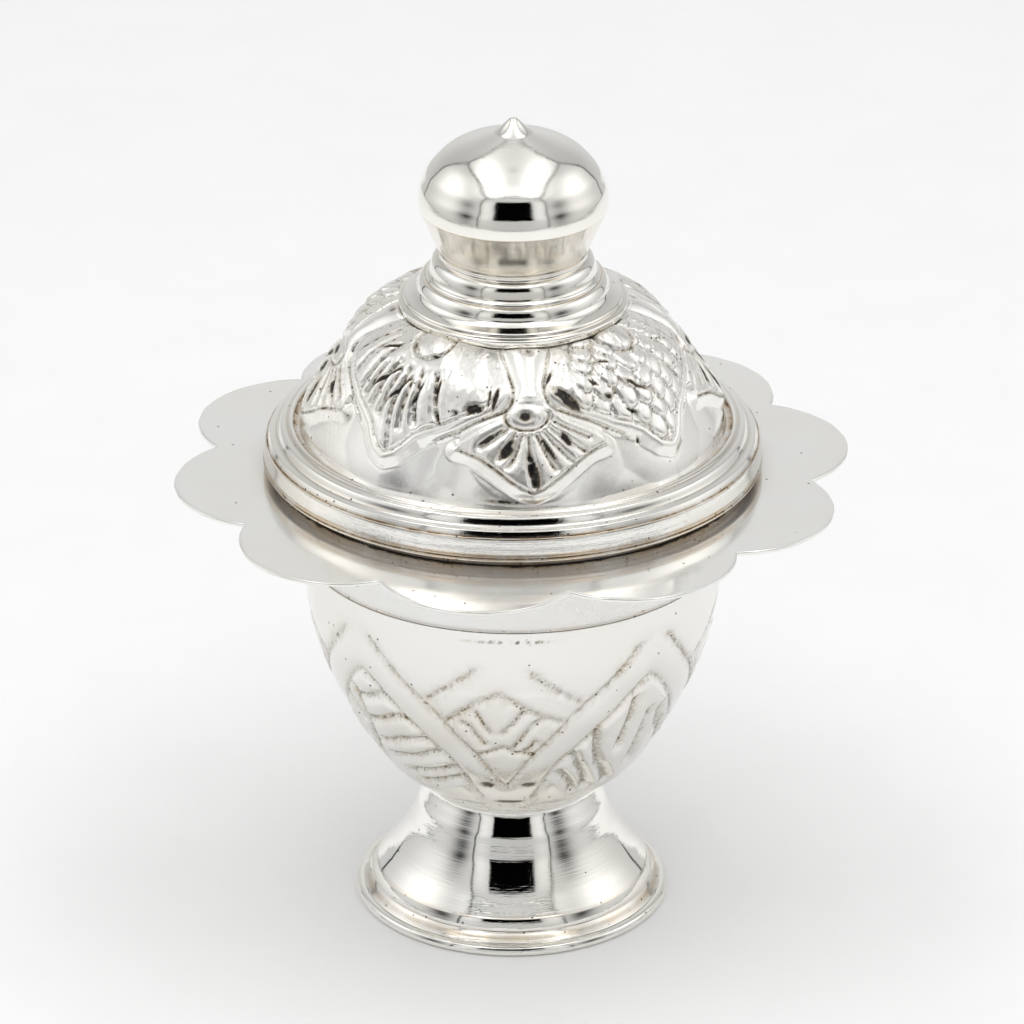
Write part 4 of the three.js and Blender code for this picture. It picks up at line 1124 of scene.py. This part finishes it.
def seam(name, a, b, w=0.008):
    """A dark seam of the tent: a thin square rod between two points."""
    a, b = np.array(a, float), np.array(b, float)
    d = (b - a) / np.linalg.norm(b - a)
    u = np.cross(d, (0.37, 0.61, 0.70))
    u /= np.linalg.norm(u)
    v = np.cross(d, u)
    co = [tuple(p + w * (i * u + j * v)) for p in (a, b) for i, j in ((-1, -1), (1, -1), (1, 1), (-1, 1))]
    me = bpy.data.meshes.new(name)
    me.from_pydata(co, [], [(0, 1, 5, 4), (1, 2, 6, 5), (2, 3, 7, 6), (3, 0, 4, 7)])
    me.materials.append(SEAM)
    ob = bpy.data.objects.new(name, me)
    bpy.context.scene.collection.objects.link(ob)
    ob.visible_camera = False
    ob.visible_shadow = False
    ob.visible_diffuse = False


E = 0.009
for sx in (-1, 1):
    seam("seam_front_%d" % sx, (sx * (X0 - E), YF + E, 0.0), (sx * (X0 - E), YF + E, ZT))
    seam("seam_rear_%d" % sx, (sx * (X0 - E), YB - E, 0.0), (sx * (X0 - E), YB - E, ZT))
    seam("seam_top_%d" % sx, (sx * (X0 - E), YF + E, ZT - E), (sx * (X0 - E), YB - E, ZT - E))
    seam("seam_low_%d" % sx, (sx * (X0 - E), YF + E, 0.003), (sx * (X0 - E), YB - E, 0.003), 0.003)
seam("seam_top_f", (-X0, YF + E, ZT - E), (X0, YF + E, ZT - E))
seam("seam_top_r", (-X0, YB - E, ZT - E), (X0, YB - E, ZT - E))
seam("seam_low_f", (-X0, YF + E, 0.003), (X0, YF + E, 0.003), 0.003)

# a broad soft light over the table, for its matt surface
soft = bpy.data.lights.new("table_light", "AREA")
soft.shape = "RECTANGLE"
soft.size, soft.size_y = 0.80, 0.80
soft.energy = 0.92
soft_ob = bpy.data.objects.new("table_light", soft)
bpy.context.scene.collection.objects.link(soft_ob)
soft_ob.location = (0.0, -0.04, 0.70)
soft_ob.visible_camera = False
soft_ob.visible_glossy = False

# a weak low light from the front, so that the table stays pale under the plate
low_light = bpy.data.lights.new("low_fill", "AREA")
low_light.shape = "RECTANGLE"
low_light.size, low_light.size_y = 0.70, 0.25
low_light.energy = 0.55
low_ob = bpy.data.objects.new("low_fill", low_light)
bpy.context.scene.collection.objects.link(low_ob)
low_ob.location = (0.0, -0.44, 0.26)
low_ob.rotation_euler = (math.radians(62.0), 0.0, 0.0)
low_ob.visible_camera = False
low_ob.visible_glossy = False

world = bpy.data.worlds.new("surround")
bpy.context.scene.world = world
world.use_nodes = True
wq = Nodes(world)
wo = wq.add("ShaderNodeOutputWorld")
wb = wq.add("ShaderNodeBackground")
wq.put(wb, Color=(0.97, 0.98, 1.0, 1.0), Strength=0.93)
wq.t.links.new(wb.outputs[0], wo.inputs[0])

cam_data = bpy.data.cameras.new("view")
cam_data.sensor_width = 36.0
cam_data.lens = 229.04
cam_data.clip_start = 0.01
cam = bpy.data.objects.new("view", cam_data)
cam.matrix_world = (Matrix.Translation((-0.00007, -0.6212, 0.33724)) @ Matrix.Rotation(64.751 * K, 4, "X") @ Matrix.Rotation(0.111 * K, 4, "Z"))
bpy.context.scene.collection.objects.link(cam)
bpy.context.scene.camera = cam
bpy.context.scene.view_settings.view_transform = "Standard"
bpy.context.scene.view_settings.look = "None"
